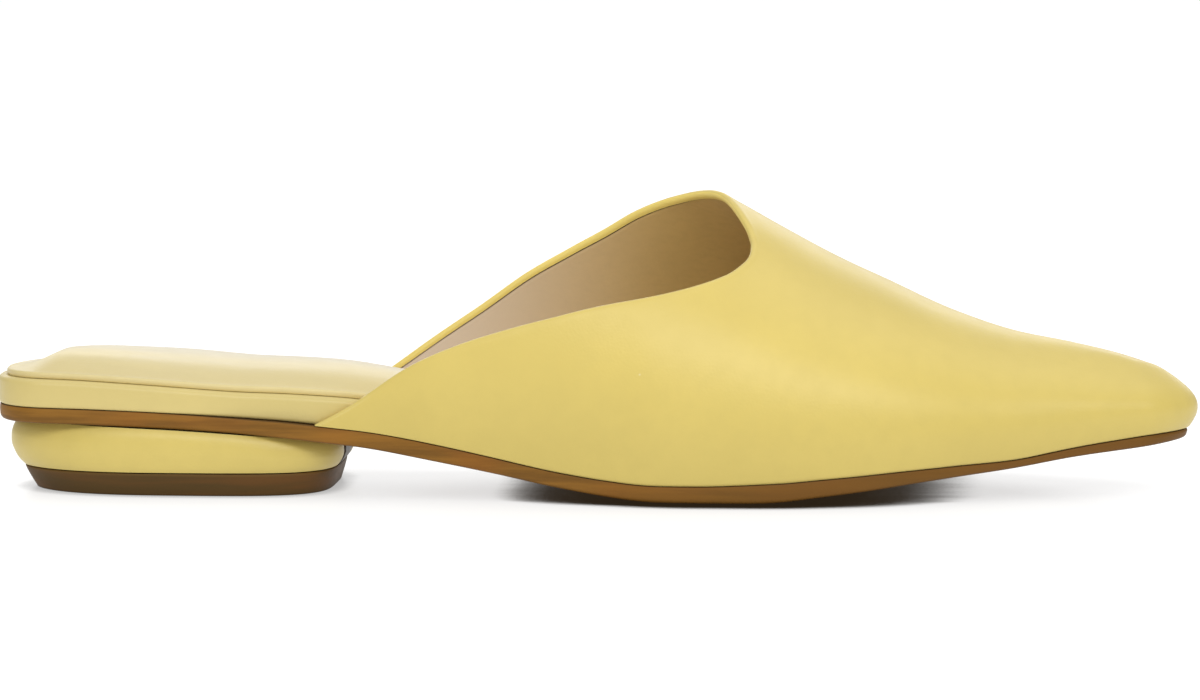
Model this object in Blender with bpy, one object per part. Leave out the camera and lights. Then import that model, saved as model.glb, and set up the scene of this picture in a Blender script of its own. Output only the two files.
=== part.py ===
"""Pointed mule for the right foot.

The pieces are the upper, the wrapped footbed with its padded sock, the outsole, and the low heel
with its block, breast cover and lift. The toe points to +X, the inner side of the foot is at +Y
and up is +Z. The shoe stands empty on its lift and on the flat spot under the ball, at height zero.
Run it in Blender's text editor, or with blender --background --python part.py
"""
import math

import bmesh
import bpy
from mathutils import Vector

MM = 0.001

# Overall sizes of the last
LENGTH = 268.0 * MM
BALL_WIDTH = 79.6 * MM
SEAT_WIDTH = 57.0 * MM
INSTEP_HEIGHT = 65.7 * MM
HEEL_RISE = 16.3 * MM
TOE_SPRING = 11.8 * MM
BACK_CORNER_OUTER = 13.0 * MM
BACK_CORNER_INNER = 48.0 * MM
BACK_OFFSET = 12.0 * MM
TOE_CORNER = 10.0 * MM
BACK_SQUARENESS_OUTER = 2.4
BACK_SQUARENESS_INNER = 1.8
TOE_SQUARENESS = 2.0
TOE_OVERHANG = 2.0 * MM

# Thickness of each layer
OUTSOLE_THICKNESS = 4.2 * MM
FOOTBED_THICKNESS = 5.6 * MM
SOCK_EDGE = 1.2 * MM
SOCK_CROWN = 3.8 * MM
UPPER_WALL = 1.8 * MM
UPPER_BULGE = 3.0 * MM
TOE_BULGE = 2.6 * MM
CLEARANCE = 0.3 * MM
LASTING_SLACK = 0.2 * MM

# Edges and margins
OUTSOLE_MARGIN = 0.4 * MM
OUTSOLE_EDGE_RADIUS = 1.0 * MM
OUTSOLE_EDGE_LIFT = 0.8 * MM
OUTSOLE_EDGE_BAND = 9.0 * MM
RAND_EDGE_RADIUS = 1.4 * MM
SOCK_MARGIN = 2.0 * MM
SOCK_FULL_WIDTH = 45.6 * MM
SOCK_REAR_START = 4.0 * MM
SOCK_REAR_RUN = 14.0 * MM
SOCK_SQUARENESS = 2.4

# Heel
HEEL_LENGTH = 77.1 * MM
HEEL_WIDTH = 56.6 * MM
HEEL_SETBACK = 0.5 * MM
HEEL_SKEW = math.radians(-1.5)
HEEL_SQUARENESS = 2.5
HEEL_FRONT_SQUARENESS = 3.8
HEEL_REAR_CUT = 16.0 * MM
HEEL_CUT_START = 0.5
HEEL_CUT_POWER = 1.5
HEEL_PUFF = 3.0 * MM
HEEL_FRONT_SHARE = 0.5
LIFT_THICKNESS = 5.0 * MM
LIFT_TOP_MARGIN = 3.2 * MM
LIFT_TAPER = 2.4 * MM
LIFT_EDGE = 0.5 * MM
LIFT_EDGE_MARGIN = 0.9 * MM
BREAST_WIDTH = 15.0 * MM
BREAST_THICKNESS = 1.2 * MM

# Shares of the sole's length between which a form grows in or fades out
LASTING_RUN = (0.13, 0.262)
EDGE_LIFT_RISE = (0.30, 0.50)
EDGE_LIFT_FADE = (0.76, 0.92)
TREAD_RISE = (0.02, 0.10)
TREAD_FADE = (0.85, 0.97)
BULGE_RISE = (0.25, 0.45)

# How finely the curves are cut
OUTLINE_STEPS = 52
HEEL_STEPS = 30
COLLAR_STEPS_OUTER = 24
COLLAR_STEPS_INNER = 28
VAMP_STEPS = 24
WALL_STEPS = 9
BREAST_STEPS = 8
SOCK_COLUMNS = 8
COLLAR_SPAN_STEPS = 12
SHARP_ANGLE = math.radians(38)

# Colour, roughness and metallic share of each piece
LOOKS = {
    "outsole": ((0.27, 0.125, 0.035), 0.45, 0.0),
    "footbed": ((0.71, 0.58, 0.24), 0.5, 0.0),
    "sock": ((0.78, 0.68, 0.40), 0.55, 0.0),
    "heel_block": ((0.67, 0.54, 0.22), 0.4, 0.0),
    "heel_breast": ((0.06, 0.035, 0.015), 0.4, 0.0),
    "heel_lift": ((0.075, 0.042, 0.016), 0.3, 0.0),
    "upper": ((0.745, 0.63, 0.235), 0.42, 0.0),
}

X_BACK = -LENGTH / 2
X_TOE = LENGTH / 2 - TOE_OVERHANG
SOLE_LENGTH = X_TOE - X_BACK

# Half widths of the sole's outline before its ends are rounded:
# share of the sole's length, then the shares of the half seat width on the outer and the inner
# side, then the shares of the half ball width on the outer and the inner side
OUTLINE = (
    (0.00, 0.93, 1.03, 0.00, 0.00),
    (0.10, 0.97, 1.02, 0.00, 0.00),
    (0.20, 1.00, 0.97, 0.00, 0.00),
    (0.30, 0.99, 0.90, 0.00, 0.00),
    (0.38, 0.60, 0.50, 0.32, 0.27),
    (0.46, 0.20, 0.16, 0.70, 0.55),
    (0.54, 0.00, 0.00, 0.955, 0.77),
    (0.60, 0.00, 0.00, 1.00, 0.87),
    (0.66, 0.00, 0.00, 0.995, 0.94),
    (0.72, 0.00, 0.00, 0.925, 0.945),
    (0.78, 0.00, 0.00, 0.795, 0.85),
    (0.84, 0.00, 0.00, 0.625, 0.695),
    (0.90, 0.00, 0.00, 0.455, 0.518),
    (0.95, 0.00, 0.00, 0.322, 0.372),
    (1.00, 0.00, 0.00, 0.195, 0.222),
)

# Underside of the outsole: share of the sole's length, share of the heel rise, share of the spring
UNDERSIDE = (
    (0.00, 1.000, 0.00),
    (0.11, 0.955, 0.00),
    (0.17, 0.912, 0.00),
    (0.23, 0.840, 0.00),
    (0.30, 0.710, 0.00),
    (0.36, 0.538, 0.00),
    (0.42, 0.345, 0.00),
    (0.475, 0.160, 0.00),
    (0.515, 0.058, 0.00),
    (0.54, 0.014, 0.00),
    (0.56, 0.000, 0.00),
    (0.62, 0.000, 0.000),
    (0.66, 0.000, 0.026),
    (0.69, 0.000, 0.105),
    (0.73, 0.000, 0.205),
    (0.76, 0.000, 0.292),
    (0.80, 0.000, 0.410),
    (0.85, 0.000, 0.560),
    (0.90, 0.000, 0.745),
    (0.96, 0.000, 0.889),
    (1.00, 0.000, 1.000),
)

# Share of the outsole's thickness that is left at each share of its length
OUTSOLE_SKIVE = (
    (0.00, 0.78),
    (0.12, 0.78),
    (0.20, 0.76),
    (0.26, 0.82),
    (0.31, 0.83),
    (0.36, 0.90),
    (0.44, 0.92),
    (0.50, 0.97),
    (0.56, 1.02),
    (0.60, 1.04),
    (0.65, 1.15),
    (0.69, 1.07),
    (0.75, 0.92),
    (0.80, 0.72),
    (0.87, 0.44),
    (0.90, 0.45),
    (0.93, 0.50),
    (0.96, 0.54),
    (1.00, 0.42),
)

# Share of the footbed's thickness at each share of its length
FOOTBED_FORM = (
    (0.00, 1.12),
    (0.06, 1.11),
    (0.12, 1.04),
    (0.20, 0.98),
    (0.25, 1.06),
    (0.31, 1.17),
    (0.36, 1.12),
    (0.44, 0.86),
    (0.52, 0.68),
    (1.00, 0.68),
)

# Ridge of the last: share of the sole's length, height as a share of the instep height, and
# offset to the inner side as a share of the half ball width
RIDGE = (
    (0.26, 1.390, 0.20),
    (0.40, 1.320, 0.20),
    (0.50, 1.200, 0.18),
    (0.56, 1.085, 0.165),
    (0.60, 1.012, 0.155),
    (0.63, 0.945, 0.15),
    (0.66, 0.876, 0.14),
    (0.70, 0.788, 0.13),
    (0.75, 0.696, 0.115),
    (0.80, 0.605, 0.10),
    (0.85, 0.537, 0.08),
    (0.90, 0.495, 0.06),
    (0.94, 0.460, 0.05),
    (0.97, 0.423, 0.035),
    (1.00, 0.375, 0.025),
)

# Collar line from the outer rear tip round the throat to the inner rear tip: share of the sole's
# length, and turn round the last, which is -1 at the outer feather edge, 0 on the ridge and 1 at
# the inner feather edge
COLLAR = (
    (0.2725, -0.998),
    (0.302, -0.954),
    (0.348, -0.866),
    (0.392, -0.801),
    (0.438, -0.741),
    (0.485, -0.680),
    (0.542, -0.598),
    (0.586, -0.523),
    (0.6125, -0.453),
    (0.6268, -0.384),
    (0.6330, -0.328),
    (0.6340, -0.270),
    (0.6300, -0.205),
    (0.6215, -0.120),
    (0.6100, -0.005),
    (0.5940, 0.130),
    (0.5760, 0.235),
    (0.5540, 0.330),
    (0.5290, 0.425),
    (0.5030, 0.515),
    (0.4720, 0.595),
    (0.4340, 0.680),
    (0.3940, 0.772),
    (0.3480, 0.864),
    (0.3030, 0.955),
    (0.2830, 0.992),
)
THROAT_ROW = max(range(len(COLLAR)), key=lambda row: COLLAR[row][0])

# From this share of the length on, the ridge lags behind the feather edge, up to the lag at the tip
TOE_FAN_START = 0.84
TOE_FAN_LAG = 10.5 * MM

# A turn of 1 counts as this length where points are spaced evenly along the collar
TURN_LENGTH = 55.0 * MM

# Share of the length at which the row through the throat meets the feather edge
FRONT_FEATHER_SHARE = 0.67

# How much more steeply the bulge falls away over the toe than over the instep
TOE_BULGE_FALL = 3.4

# Side of the heel block: share of its height, and share of the puff by which it stands in
PUFF = (
    (0.00, 1.00),
    (0.10, 0.63),
    (0.28, 0.23),
    (0.50, 0.00),
    (0.72, 0.07),
    (0.90, 0.37),
    (1.00, 0.70),
)


def slopes(xs, ys):
    """Slopes of a smooth curve through a table; it lies level at each row where it turns."""
    gaps = [b - a for a, b in zip(xs, xs[1:])]
    steps = [(ys[i + 1] - ys[i]) / gap for i, gap in enumerate(gaps)]
    out = [steps[0]]
    for i in range(1, len(steps)):
        mean = (steps[i - 1] * gaps[i] + steps[i] * gaps[i - 1]) / (gaps[i - 1] + gaps[i])
        out.append(mean if steps[i - 1] * steps[i] > 0 else 0.0)
    out.append(steps[-1])
    return out


def read(table, column, share):
    """Value of one column of a table at a share, on a smooth curve."""
    xs = [row[0] for row in table]
    ys = [row[column] for row in table]
    share = min(max(share, xs[0]), xs[-1])
    i = max(k for k in range(len(xs) - 1) if xs[k] <= share)
    tangent = slopes(xs, ys)
    width = xs[i + 1] - xs[i]
    t = (share - xs[i]) / width
    return (
        ys[i] * (1 + 2 * t) * (1 - t) ** 2
        + tangent[i] * width * t * (1 - t) ** 2
        + ys[i + 1] * t * t * (3 - 2 * t)
        + tangent[i + 1] * width * t * t * (t - 1)
    )


def ramp(low, high, value):
    """Smooth step from 0 at low to 1 at high."""
    t = min(max((value - low) / (high - low), 0.0), 1.0)
    return t * t * (3 - 2 * t)


def share_of(x):
    return min(max((x - X_BACK) / SOLE_LENGTH, 0.0), 1.0)


def end_rounding(distance, reach, power):
    """Share of the full width at a distance from a rounded end."""
    if distance >= reach:
        return 1.0
    return (1 - (1 - max(distance, 0.0) / reach) ** power) ** (1 / power)


def half_width(share, side):
    """Half width of the sole before its back is rounded; side is -1 for the outer side, 1 for the inner."""
    column = 1 if side < 0 else 2
    width = read(OUTLINE, column, share) * SEAT_WIDTH / 2
    width += read(OUTLINE, column + 2, share) * BALL_WIDTH / 2
    return width * end_rounding((1 - share) * SOLE_LENGTH, TOE_CORNER, TOE_SQUARENESS)


def edge_point(share, side):
    """Point on the sole's outline; its rearmost point lies off the middle, to the outer side."""
    corner = BACK_CORNER_OUTER if side < 0 else BACK_CORNER_INNER
    power = BACK_SQUARENESS_OUTER if side < 0 else BACK_SQUARENESS_INNER
    rounding = end_rounding(share * SOLE_LENGTH, corner, power)
    y = side * half_width(share, side) * rounding - BACK_OFFSET * (1 - rounding)
    return Vector((X_BACK + share * SOLE_LENGTH, y, 0.0))


def underside(x):
    """Height of the outsole's underside."""
    share = share_of(x)
    return read(UNDERSIDE, 1, share) * HEEL_RISE + read(UNDERSIDE, 2, share) * TOE_SPRING


def edge_lift(x):
    """The sole's edge stands a little off the floor from the waist to the toe."""
    return OUTSOLE_EDGE_LIFT * ramp(*EDGE_LIFT_RISE, share_of(x)) * (1 - ramp(*EDGE_LIFT_FADE, share_of(x)))


def outsole_top(x):
    return underside(x) + read(OUTSOLE_SKIVE, 1, share_of(x)) * OUTSOLE_THICKNESS


def footbed_base(x):
    return outsole_top(x) + CLEARANCE


def footbed_top(x):
    return footbed_base(x) + read(FOOTBED_FORM, 1, share_of(x)) * FOOTBED_THICKNESS


def sock_base(x):
    return footbed_top(x) + CLEARANCE


def lasted_margin(share):
    """How far the footbed stands back from the feather edge, to leave room for the upper."""
    return ramp(*LASTING_RUN, share) * (UPPER_WALL + CLEARANCE + LASTING_SLACK)


def outline_shares():
    return [0.5 - 0.5 * math.cos(math.pi * k / OUTLINE_STEPS) for k in range(OUTLINE_STEPS + 1)]


def outline(margin):
    """The sole's outline, drawn in by a margin: the outer side to the toe, then the inner side back."""
    shares = outline_shares()
    outer = [(s, edge_point(s, -1)) for s in shares]
    inner = [(s, edge_point(s, 1)) for s in reversed(shares[1:-1])]
    ring = outer + inner
    count = len(ring)
    drawn = []
    for k, (share, point) in enumerate(ring):
        along = ring[(k + 1) % count][1] - ring[k - 1][1]
        inward = Vector((-along.y, along.x, 0.0)).normalized()
        drawn.append(point + inward * margin(share))
    return drawn


def finish_object(name, bm):
    """Turn a closed bmesh into a named object with its own material."""
    bmesh.ops.recalc_face_normals(bm, faces=bm.faces)
    mesh = bpy.data.meshes.new(name)
    bm.to_mesh(mesh)
    bm.free()
    mesh.shade_smooth()
    mesh.set_sharp_from_angle(angle=SHARP_ANGLE)
    obj = bpy.data.objects.new(name, mesh)
    bpy.context.scene.collection.objects.link(obj)
    colour, roughness, metallic = LOOKS[name]
    material = bpy.data.materials.new(name + "_finish")
    material.use_nodes = True
    shader = material.node_tree.nodes["Principled BSDF"]
    shader.inputs["Base Color"].default_value = (*colour, 1.0)
    shader.inputs["Roughness"].default_value = roughness
    shader.inputs["Metallic"].default_value = metallic
    mesh.materials.append(material)
    return obj


def bridge(bm, lower, upper, closed=True):
    """Quads between two rows of the same length."""
    count = len(lower)
    for k in range(count if closed else count - 1):
        j = (k + 1) % count
        bm.faces.new((lower[k], lower[j], upper[j], upper[k]))


def deck(bm, ring, columns, crown):
    """Close a ring of the outline with rows of faces that run from side to side."""
    count = OUTLINE_STEPS
    rows = []
    for k in range(1, count):
        outer = ring[k]
        inner = ring[-k]
        middle = []
        for c in range(1, columns):
            t = c / columns
            point = outer.co.lerp(inner.co, t)
            point.z += crown(outer.co, inner.co, t)
            middle.append(bm.verts.new(point))
        rows.append([outer, *middle, inner])
    for near, far in zip(rows, rows[1:]):
        bridge(bm, near, far, closed=False)
    for tip, row in ((ring[0], rows[0]), (ring[count], rows[-1])):
        for a, b in zip(row, row[1:]):
            bm.faces.new((tip, a, b))


def no_crown(outer, inner, t):
    return 0.0


def plate(name, levels, columns=1, crown=no_crown):
    """A layer of the sole: rings of the outline, each with a margin and a height, closed by decks."""
    bm = bmesh.new()
    rings = []
    for margin, height in levels:
        ring = []
        for point in outline(margin):
            point.z = height(point.x)
            ring.append(bm.verts.new(point))
        rings.append(ring)
    for lower, upper in zip(rings, rings[1:]):
        bridge(bm, lower, upper)
    deck(bm, rings[0], 1, no_crown)
    deck(bm, rings[-1], columns, crown)
    return finish_object(name, bm)


def build_outsole():
    radius = OUTSOLE_EDGE_RADIUS

    def margin(extra):
        return lambda share: OUTSOLE_MARGIN + extra

    def tread_margin(share):
        fullness = ramp(*TREAD_RISE, share) * (1 - ramp(*TREAD_FADE, share))
        return OUTSOLE_MARGIN + 2 * radius + fullness * (OUTSOLE_EDGE_BAND - 2 * radius)

    levels = (
        (tread_margin, underside),
        (margin(radius), lambda x: underside(x) + edge_lift(x)),
        (margin(radius * 0.3), lambda x: underside(x) + edge_lift(x) + radius * 0.35),
        (margin(0.0), lambda x: underside(x) + edge_lift(x) + radius),
        (margin(0.0), lambda x: outsole_top(x) - radius * 0.3),
        (margin(radius * 0.3), outsole_top),
    )
    return plate("outsole", levels)


def build_footbed():
    radius = RAND_EDGE_RADIUS

    def margin(extra):
        return lambda share: lasted_margin(share) + extra

    levels = (
        (margin(radius * 0.5), footbed_base),
        (margin(0.0), lambda x: footbed_base(x) + radius * 0.7),
        (margin(0.0), lambda x: footbed_top(x) - radius),
        (margin(radius * 0.3), lambda x: footbed_top(x) - radius * 0.3),
        (margin(radius), footbed_top),
    )
    return plate("footbed", levels)


def build_sock():
    def margin(extra):
        return lambda share: lasted_margin(share) + SOCK_MARGIN + extra

    def crown(outer, inner, t):
        across = 1 - abs(2 * t - 1) ** SOCK_SQUARENESS
        fullness = ramp(0.0, SOCK_FULL_WIDTH, (inner - outer).length)
        rear = ramp(SOCK_REAR_START, SOCK_REAR_RUN, outer.x - X_BACK)
        return SOCK_CROWN * across * fullness * rear

    levels = (
        (margin(SOCK_EDGE * 0.3), sock_base),
        (margin(0.0), lambda x: sock_base(x) + SOCK_EDGE * 0.4),
        (margin(SOCK_EDGE * 0.7), lambda x: sock_base(x) + SOCK_EDGE),
    )
    return plate("sock", levels, SOCK_COLUMNS, crown)


def oval_point(turn, margin, inset=0.0):
    """Point on the heel's oval; turn is an angle from its front, the margin counts less off the rear."""
    c = math.cos(turn)
    s = math.sin(turn)
    power = 2 / (HEEL_FRONT_SQUARENESS if c > 0 else HEEL_SQUARENESS)
    share = HEEL_FRONT_SHARE if c > 0 else 1.0
    along = (HEEL_LENGTH / 2 - margin * share - inset) * math.copysign(abs(c) ** power, c)
    across = (HEEL_WIDTH / 2 - margin * HEEL_FRONT_SHARE - inset) * math.copysign(abs(s) ** power, s)
    slant = max(across / (HEEL_WIDTH / 2) + HEEL_CUT_START, 0.0) / (1 + HEEL_CUT_START)
    along += HEEL_REAR_CUT * slant ** HEEL_CUT_POWER * max(-c, 0.0) ** power
    centre = X_BACK + HEEL_SETBACK + HEEL_LENGTH / 2
    x = centre + along * math.cos(HEEL_SKEW) - across * math.sin(HEEL_SKEW)
    y = along * math.sin(HEEL_SKEW) + across * math.cos(HEEL_SKEW)
    return Vector((x, y, 0.0))


def breast_turn():
    """Angle of the oval at which the breast cover ends."""
    return math.asin((BREAST_WIDTH / HEEL_WIDTH) ** (HEEL_FRONT_SQUARENESS / 2))


def spread(start, stop, count):
    return [start + (stop - start) * k / (count - 1) for k in range(count)]


def fan_cap(bm, ring):
    """Close a ring with a fan round its middle."""
    middle = bm.verts.new(sum((v.co for v in ring), Vector()) / len(ring))
    for k, vert in enumerate(ring):
        bm.faces.new((vert, ring[(k + 1) % len(ring)], middle))


def stack(name, rings_of_points):
    """Solid through rings of points, closed with a fan at the bottom and at the top."""
    bm = bmesh.new()
    rings = [[bm.verts.new(point) for point in points] for points in rings_of_points]
    for lower, upper in zip(rings, rings[1:]):
        bridge(bm, lower, upper)
    fan_cap(bm, rings[0])
    fan_cap(bm, rings[-1])
    return finish_object(name, bm)


def block_height(point, level):
    base = LIFT_THICKNESS + CLEARANCE
    top = underside(point.x) - CLEARANCE
    return base + level * (top - base)


def build_heel_block():
    edge = breast_turn()
    recess = BREAST_THICKNESS + CLEARANCE
    rings = []
    for level, puff in PUFF:
        margin = puff * HEEL_PUFF
        turns = spread(edge, 2 * math.pi - edge, 2 * HEEL_STEPS)
        around = [oval_point(t, margin) for t in turns]
        front = [oval_point(t, margin, recess) for t in spread(-edge, edge, BREAST_STEPS + 1)]
        ring = around + front
        for point in ring:
            point.z = block_height(point, level)
        rings.append(ring)
    return stack("heel_block", rings)


def build_heel_breast():
    edge = breast_turn() * (1 - 2 * CLEARANCE / BREAST_WIDTH)
    rings = []
    for level, puff in PUFF:
        margin = puff * HEEL_PUFF
        turns = spread(-edge, edge, BREAST_STEPS + 1)
        face = [oval_point(t, margin) for t in turns]
        back = [oval_point(t, margin, BREAST_THICKNESS) for t in reversed(turns)]
        ring = face + back
        for point in ring:
            point.z = block_height(point, level)
        rings.append(ring)
    bm = bmesh.new()
    verts = [[bm.verts.new(point) for point in ring] for ring in rings]
    for lower, upper in zip(verts, verts[1:]):
        bridge(bm, lower, upper)
    for ring in (verts[0], verts[-1]):
        half = len(ring) // 2
        bridge(bm, ring[:half], ring[: half - 1 : -1], closed=False)
    return finish_object("heel_breast", bm)


def build_heel_lift():
    taper = LIFT_TAPER
    levels = (
        (LIFT_TOP_MARGIN + taper + LIFT_EDGE_MARGIN, 0.0),
        (LIFT_TOP_MARGIN + taper, LIFT_EDGE),
        (LIFT_TOP_MARGIN + taper * 0.4, LIFT_THICKNESS * 0.55),
        (LIFT_TOP_MARGIN, LIFT_THICKNESS),
    )
    rings = []
    for margin, height in levels:
        ring = [oval_point(t, margin) for t in spread(0.0, 2 * math.pi, 2 * HEEL_STEPS + 1)[:-1]]
        for point in ring:
            point.z = height
        rings.append(ring)
    return stack("heel_lift", rings)


def ridge_point(share):
    """Top line of the last; near the toe it lags behind the feather edge."""
    lag = ramp(TOE_FAN_START, 2 - TOE_FAN_START, share) * 2 * TOE_FAN_LAG
    x = X_BACK + share * SOLE_LENGTH - lag
    own = share_of(x)
    return Vector((x, read(RIDGE, 2, own) * BALL_WIDTH / 2, read(RIDGE, 1, own) * INSTEP_HEIGHT))


def ridge_slope(x):
    step = 2.0 * MM
    low = read(RIDGE, 1, share_of(x - step))
    high = read(RIDGE, 1, share_of(x + step))
    return (high - low) * INSTEP_HEIGHT / (2 * step)


def bulge_size(share, angle):
    """How far the last bulges out at an angle above its feather edge; low and round at the toe."""
    toe = ramp(TOE_FAN_START, 1.0, share)
    fall = 1 + TOE_BULGE_FALL * toe
    fullest = 2 / math.sqrt(fall + 2) * ((fall + 1) / (fall + 2)) ** ((fall + 1) / 2)
    size = UPPER_BULGE + (TOE_BULGE - UPPER_BULGE) * toe
    return size * math.sin(2 * angle) * math.cos(angle) ** fall / fullest


def last_point(share, turn):
    """Point on the last's surface at a share of the length and a turn from -1 to 1 round it."""
    side = -1 if turn < 0 else 1
    ridge = ridge_point(share)
    feather = edge_point(share, side)
    feather.z = footbed_base(feather.x)
    angle = (1 - abs(turn)) * math.pi / 2
    rise = math.sin(angle)
    reach = math.cos(angle)
    flat = Vector((feather.x - ridge.x, feather.y - ridge.y, 0.0))
    bulge = bulge_size(share, angle) * ramp(*BULGE_RISE, share)
    point = Vector((ridge.x, ridge.y, 0.0)) + flat * reach + flat.normalized() * bulge
    point.z = feather.z + (ridge.z - feather.z) * rise
    point.z += ridge_slope(ridge.x) * flat.x * reach * (1 - reach) ** 2
    return point


def collar_curve(rows, count):
    """Evenly spaced points on the smooth curve through some rows of the collar table."""
    knots = [Vector((share * SOLE_LENGTH, turn * TURN_LENGTH)) for share, turn in rows]
    dense = []
    last = len(knots) - 1
    for i in range(last):
        before = knots[max(i - 1, 0)]
        after = knots[min(i + 2, last)]
        for k in range(COLLAR_SPAN_STEPS):
            t = k / COLLAR_SPAN_STEPS
            a = 2 * knots[i]
            b = knots[i + 1] - before
            c = 2 * before - 5 * knots[i] + 4 * knots[i + 1] - after
            d = 3 * knots[i] - before - 3 * knots[i + 1] + after
            dense.append((a + b * t + c * t * t + d * t ** 3) / 2)
    dense.append(knots[last])
    lengths = [0.0]
    for a, b in zip(dense, dense[1:]):
        lengths.append(lengths[-1] + (b - a).length)
    even = []
    i = 0
    for k in range(count):
        goal = lengths[-1] * k / (count - 1)
        while i < len(lengths) - 2 and lengths[i + 1] < goal:
            i += 1
        t = (goal - lengths[i]) / (lengths[i + 1] - lengths[i])
        point = dense[i].lerp(dense[i + 1], min(max(t, 0.0), 1.0))
        even.append((point.x / SOLE_LENGTH, point.y / TURN_LENGTH))
    return even


def upper_rows():
    """Rows of the upper's outer face as pairs of share and turn: outer quarter, inner quarter, vamp."""
    outer_line = collar_curve(COLLAR[: THROAT_ROW + 1], COLLAR_STEPS_OUTER + 1)
    inner_line = collar_curve(COLLAR[THROAT_ROW:], COLLAR_STEPS_INNER + 1)[::-1]

    def quarter(line, side):
        rows = []
        tip = line[0][0]
        for k, (share, turn) in enumerate(line):
            foot = tip + (FRONT_FEATHER_SHARE - tip) * k / (len(line) - 1)
            steps = [j / WALL_STEPS for j in range(WALL_STEPS + 1)]
            rows.append([(foot + (share - foot) * t, side + (turn - side) * t) for t in steps])
        return rows

    outer = quarter(outer_line, -1)
    inner = quarter(inner_line, 1)
    throat_share, throat_turn = COLLAR[THROAT_ROW]
    vamp = []
    for k in range(1, VAMP_STEPS + 1):
        t = math.sin(math.pi / 2 * k / VAMP_STEPS)
        foot = FRONT_FEATHER_SHARE + (1 - FRONT_FEATHER_SHARE) * t
        crest = throat_share + (1 - throat_share) * t
        turn = throat_turn * (1 - ramp(0.0, 1.0, t))
        left = [(foot + (crest - foot) * j / WALL_STEPS, -1 + (turn + 1) * j / WALL_STEPS)
                for j in range(WALL_STEPS + 1)]
        right = [(foot + (crest - foot) * j / WALL_STEPS, 1 + (turn - 1) * j / WALL_STEPS)
                 for j in range(WALL_STEPS)]
        vamp.append(left + right[::-1])
    return outer, inner, vamp


def build_upper():
    """The shell: outer face and inner face a wall apart, joined along feather edge and collar."""
    outer, inner, vamp = upper_rows()
    bm = bmesh.new()

    def row_of(pairs):
        return [bm.verts.new(last_point(share, turn)) for share, turn in pairs]

    outer_rows = [row_of(row) for row in outer]
    inner_rows = [row_of(row) for row in inner[:-1]]
    front = row_of(inner[-1][:-1]) + [outer_rows[-1][-1]]
    inner_rows.append(front)
    vamp_rows = [outer_rows[-1] + inner_rows[-1][-2::-1]] + [row_of(row) for row in vamp]
    for rows in (outer_rows, inner_rows, vamp_rows):
        for a, b in zip(rows, rows[1:]):
            bridge(bm, a, b, closed=False)
    seam = vamp_rows[-1]
    pairs = {seam[-1 - k]: seam[k] for k in range(len(seam) // 2)}
    bmesh.ops.weld_verts(bm, targetmap=pairs)
    bmesh.ops.recalc_face_normals(bm, faces=bm.faces)
    top = max(bm.faces, key=lambda face: face.calc_center_median().z)
    if top.normal.z < 0:
        bmesh.ops.reverse_faces(bm, faces=bm.faces)
    bm.normal_update()

    feather = set(row[0] for row in outer_rows + inner_rows + vamp_rows)
    feather |= set(row[-1] for row in vamp_rows if row[-1].is_valid)
    lining = {}
    for vert in list(bm.verts):
        inward = -vert.normal
        if vert in feather:
            inward = Vector((inward.x, inward.y, 0.0)).normalized()
        lining[vert] = bm.verts.new(vert.co + inward * UPPER_WALL)
    faces = list(bm.faces)
    rim = [edge for edge in bm.edges if edge.is_boundary]
    for face in faces:
        bm.faces.new([lining[vert] for vert in reversed(face.verts)])
    for edge in rim:
        a, b = edge.verts
        bm.faces.new((a, b, lining[b], lining[a]))
    return finish_object("upper", bm)


def main():
    for obj in list(bpy.data.objects):
        bpy.data.objects.remove(obj, do_unlink=True)
    build_outsole()
    build_footbed()
    build_sock()
    build_heel_block()
    build_heel_breast()
    build_heel_lift()
    build_upper()


main()
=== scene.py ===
"""Looks of a pointed leather mule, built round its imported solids.

The upper, the wrapped footbed, the padded sock, the outsole and the heel's pieces are made again as
fine meshes on the same surfaces as the solids, each with its own leather or sole finish, and stand on
a plain pale floor under soft studio light.
"""

import functools
import math

import bmesh
import bpy
import numpy as np
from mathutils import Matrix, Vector, noise


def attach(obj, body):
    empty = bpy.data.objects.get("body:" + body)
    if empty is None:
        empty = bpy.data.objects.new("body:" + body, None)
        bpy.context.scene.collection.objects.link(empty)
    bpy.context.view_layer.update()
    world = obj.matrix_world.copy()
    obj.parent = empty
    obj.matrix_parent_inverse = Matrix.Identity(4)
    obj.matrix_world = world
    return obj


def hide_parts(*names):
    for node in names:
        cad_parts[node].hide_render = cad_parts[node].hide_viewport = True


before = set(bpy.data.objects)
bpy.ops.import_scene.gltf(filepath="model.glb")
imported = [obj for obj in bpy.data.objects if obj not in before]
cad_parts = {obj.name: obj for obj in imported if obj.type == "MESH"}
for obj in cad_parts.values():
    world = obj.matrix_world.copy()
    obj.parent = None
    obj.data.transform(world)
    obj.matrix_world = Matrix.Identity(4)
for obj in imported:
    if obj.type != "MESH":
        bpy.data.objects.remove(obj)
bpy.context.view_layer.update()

bl_info = {
    "name": "Leather Mule",
    "version": (1, 0, 0),
    "blender": (4, 5, 0),
    "location": "3D View > Sidebar > Mule",
    "description": "Builds the fine pieces, finishes and studio of a pointed leather mule",
    "category": "Add Mesh",
}

MM = 0.001

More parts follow.
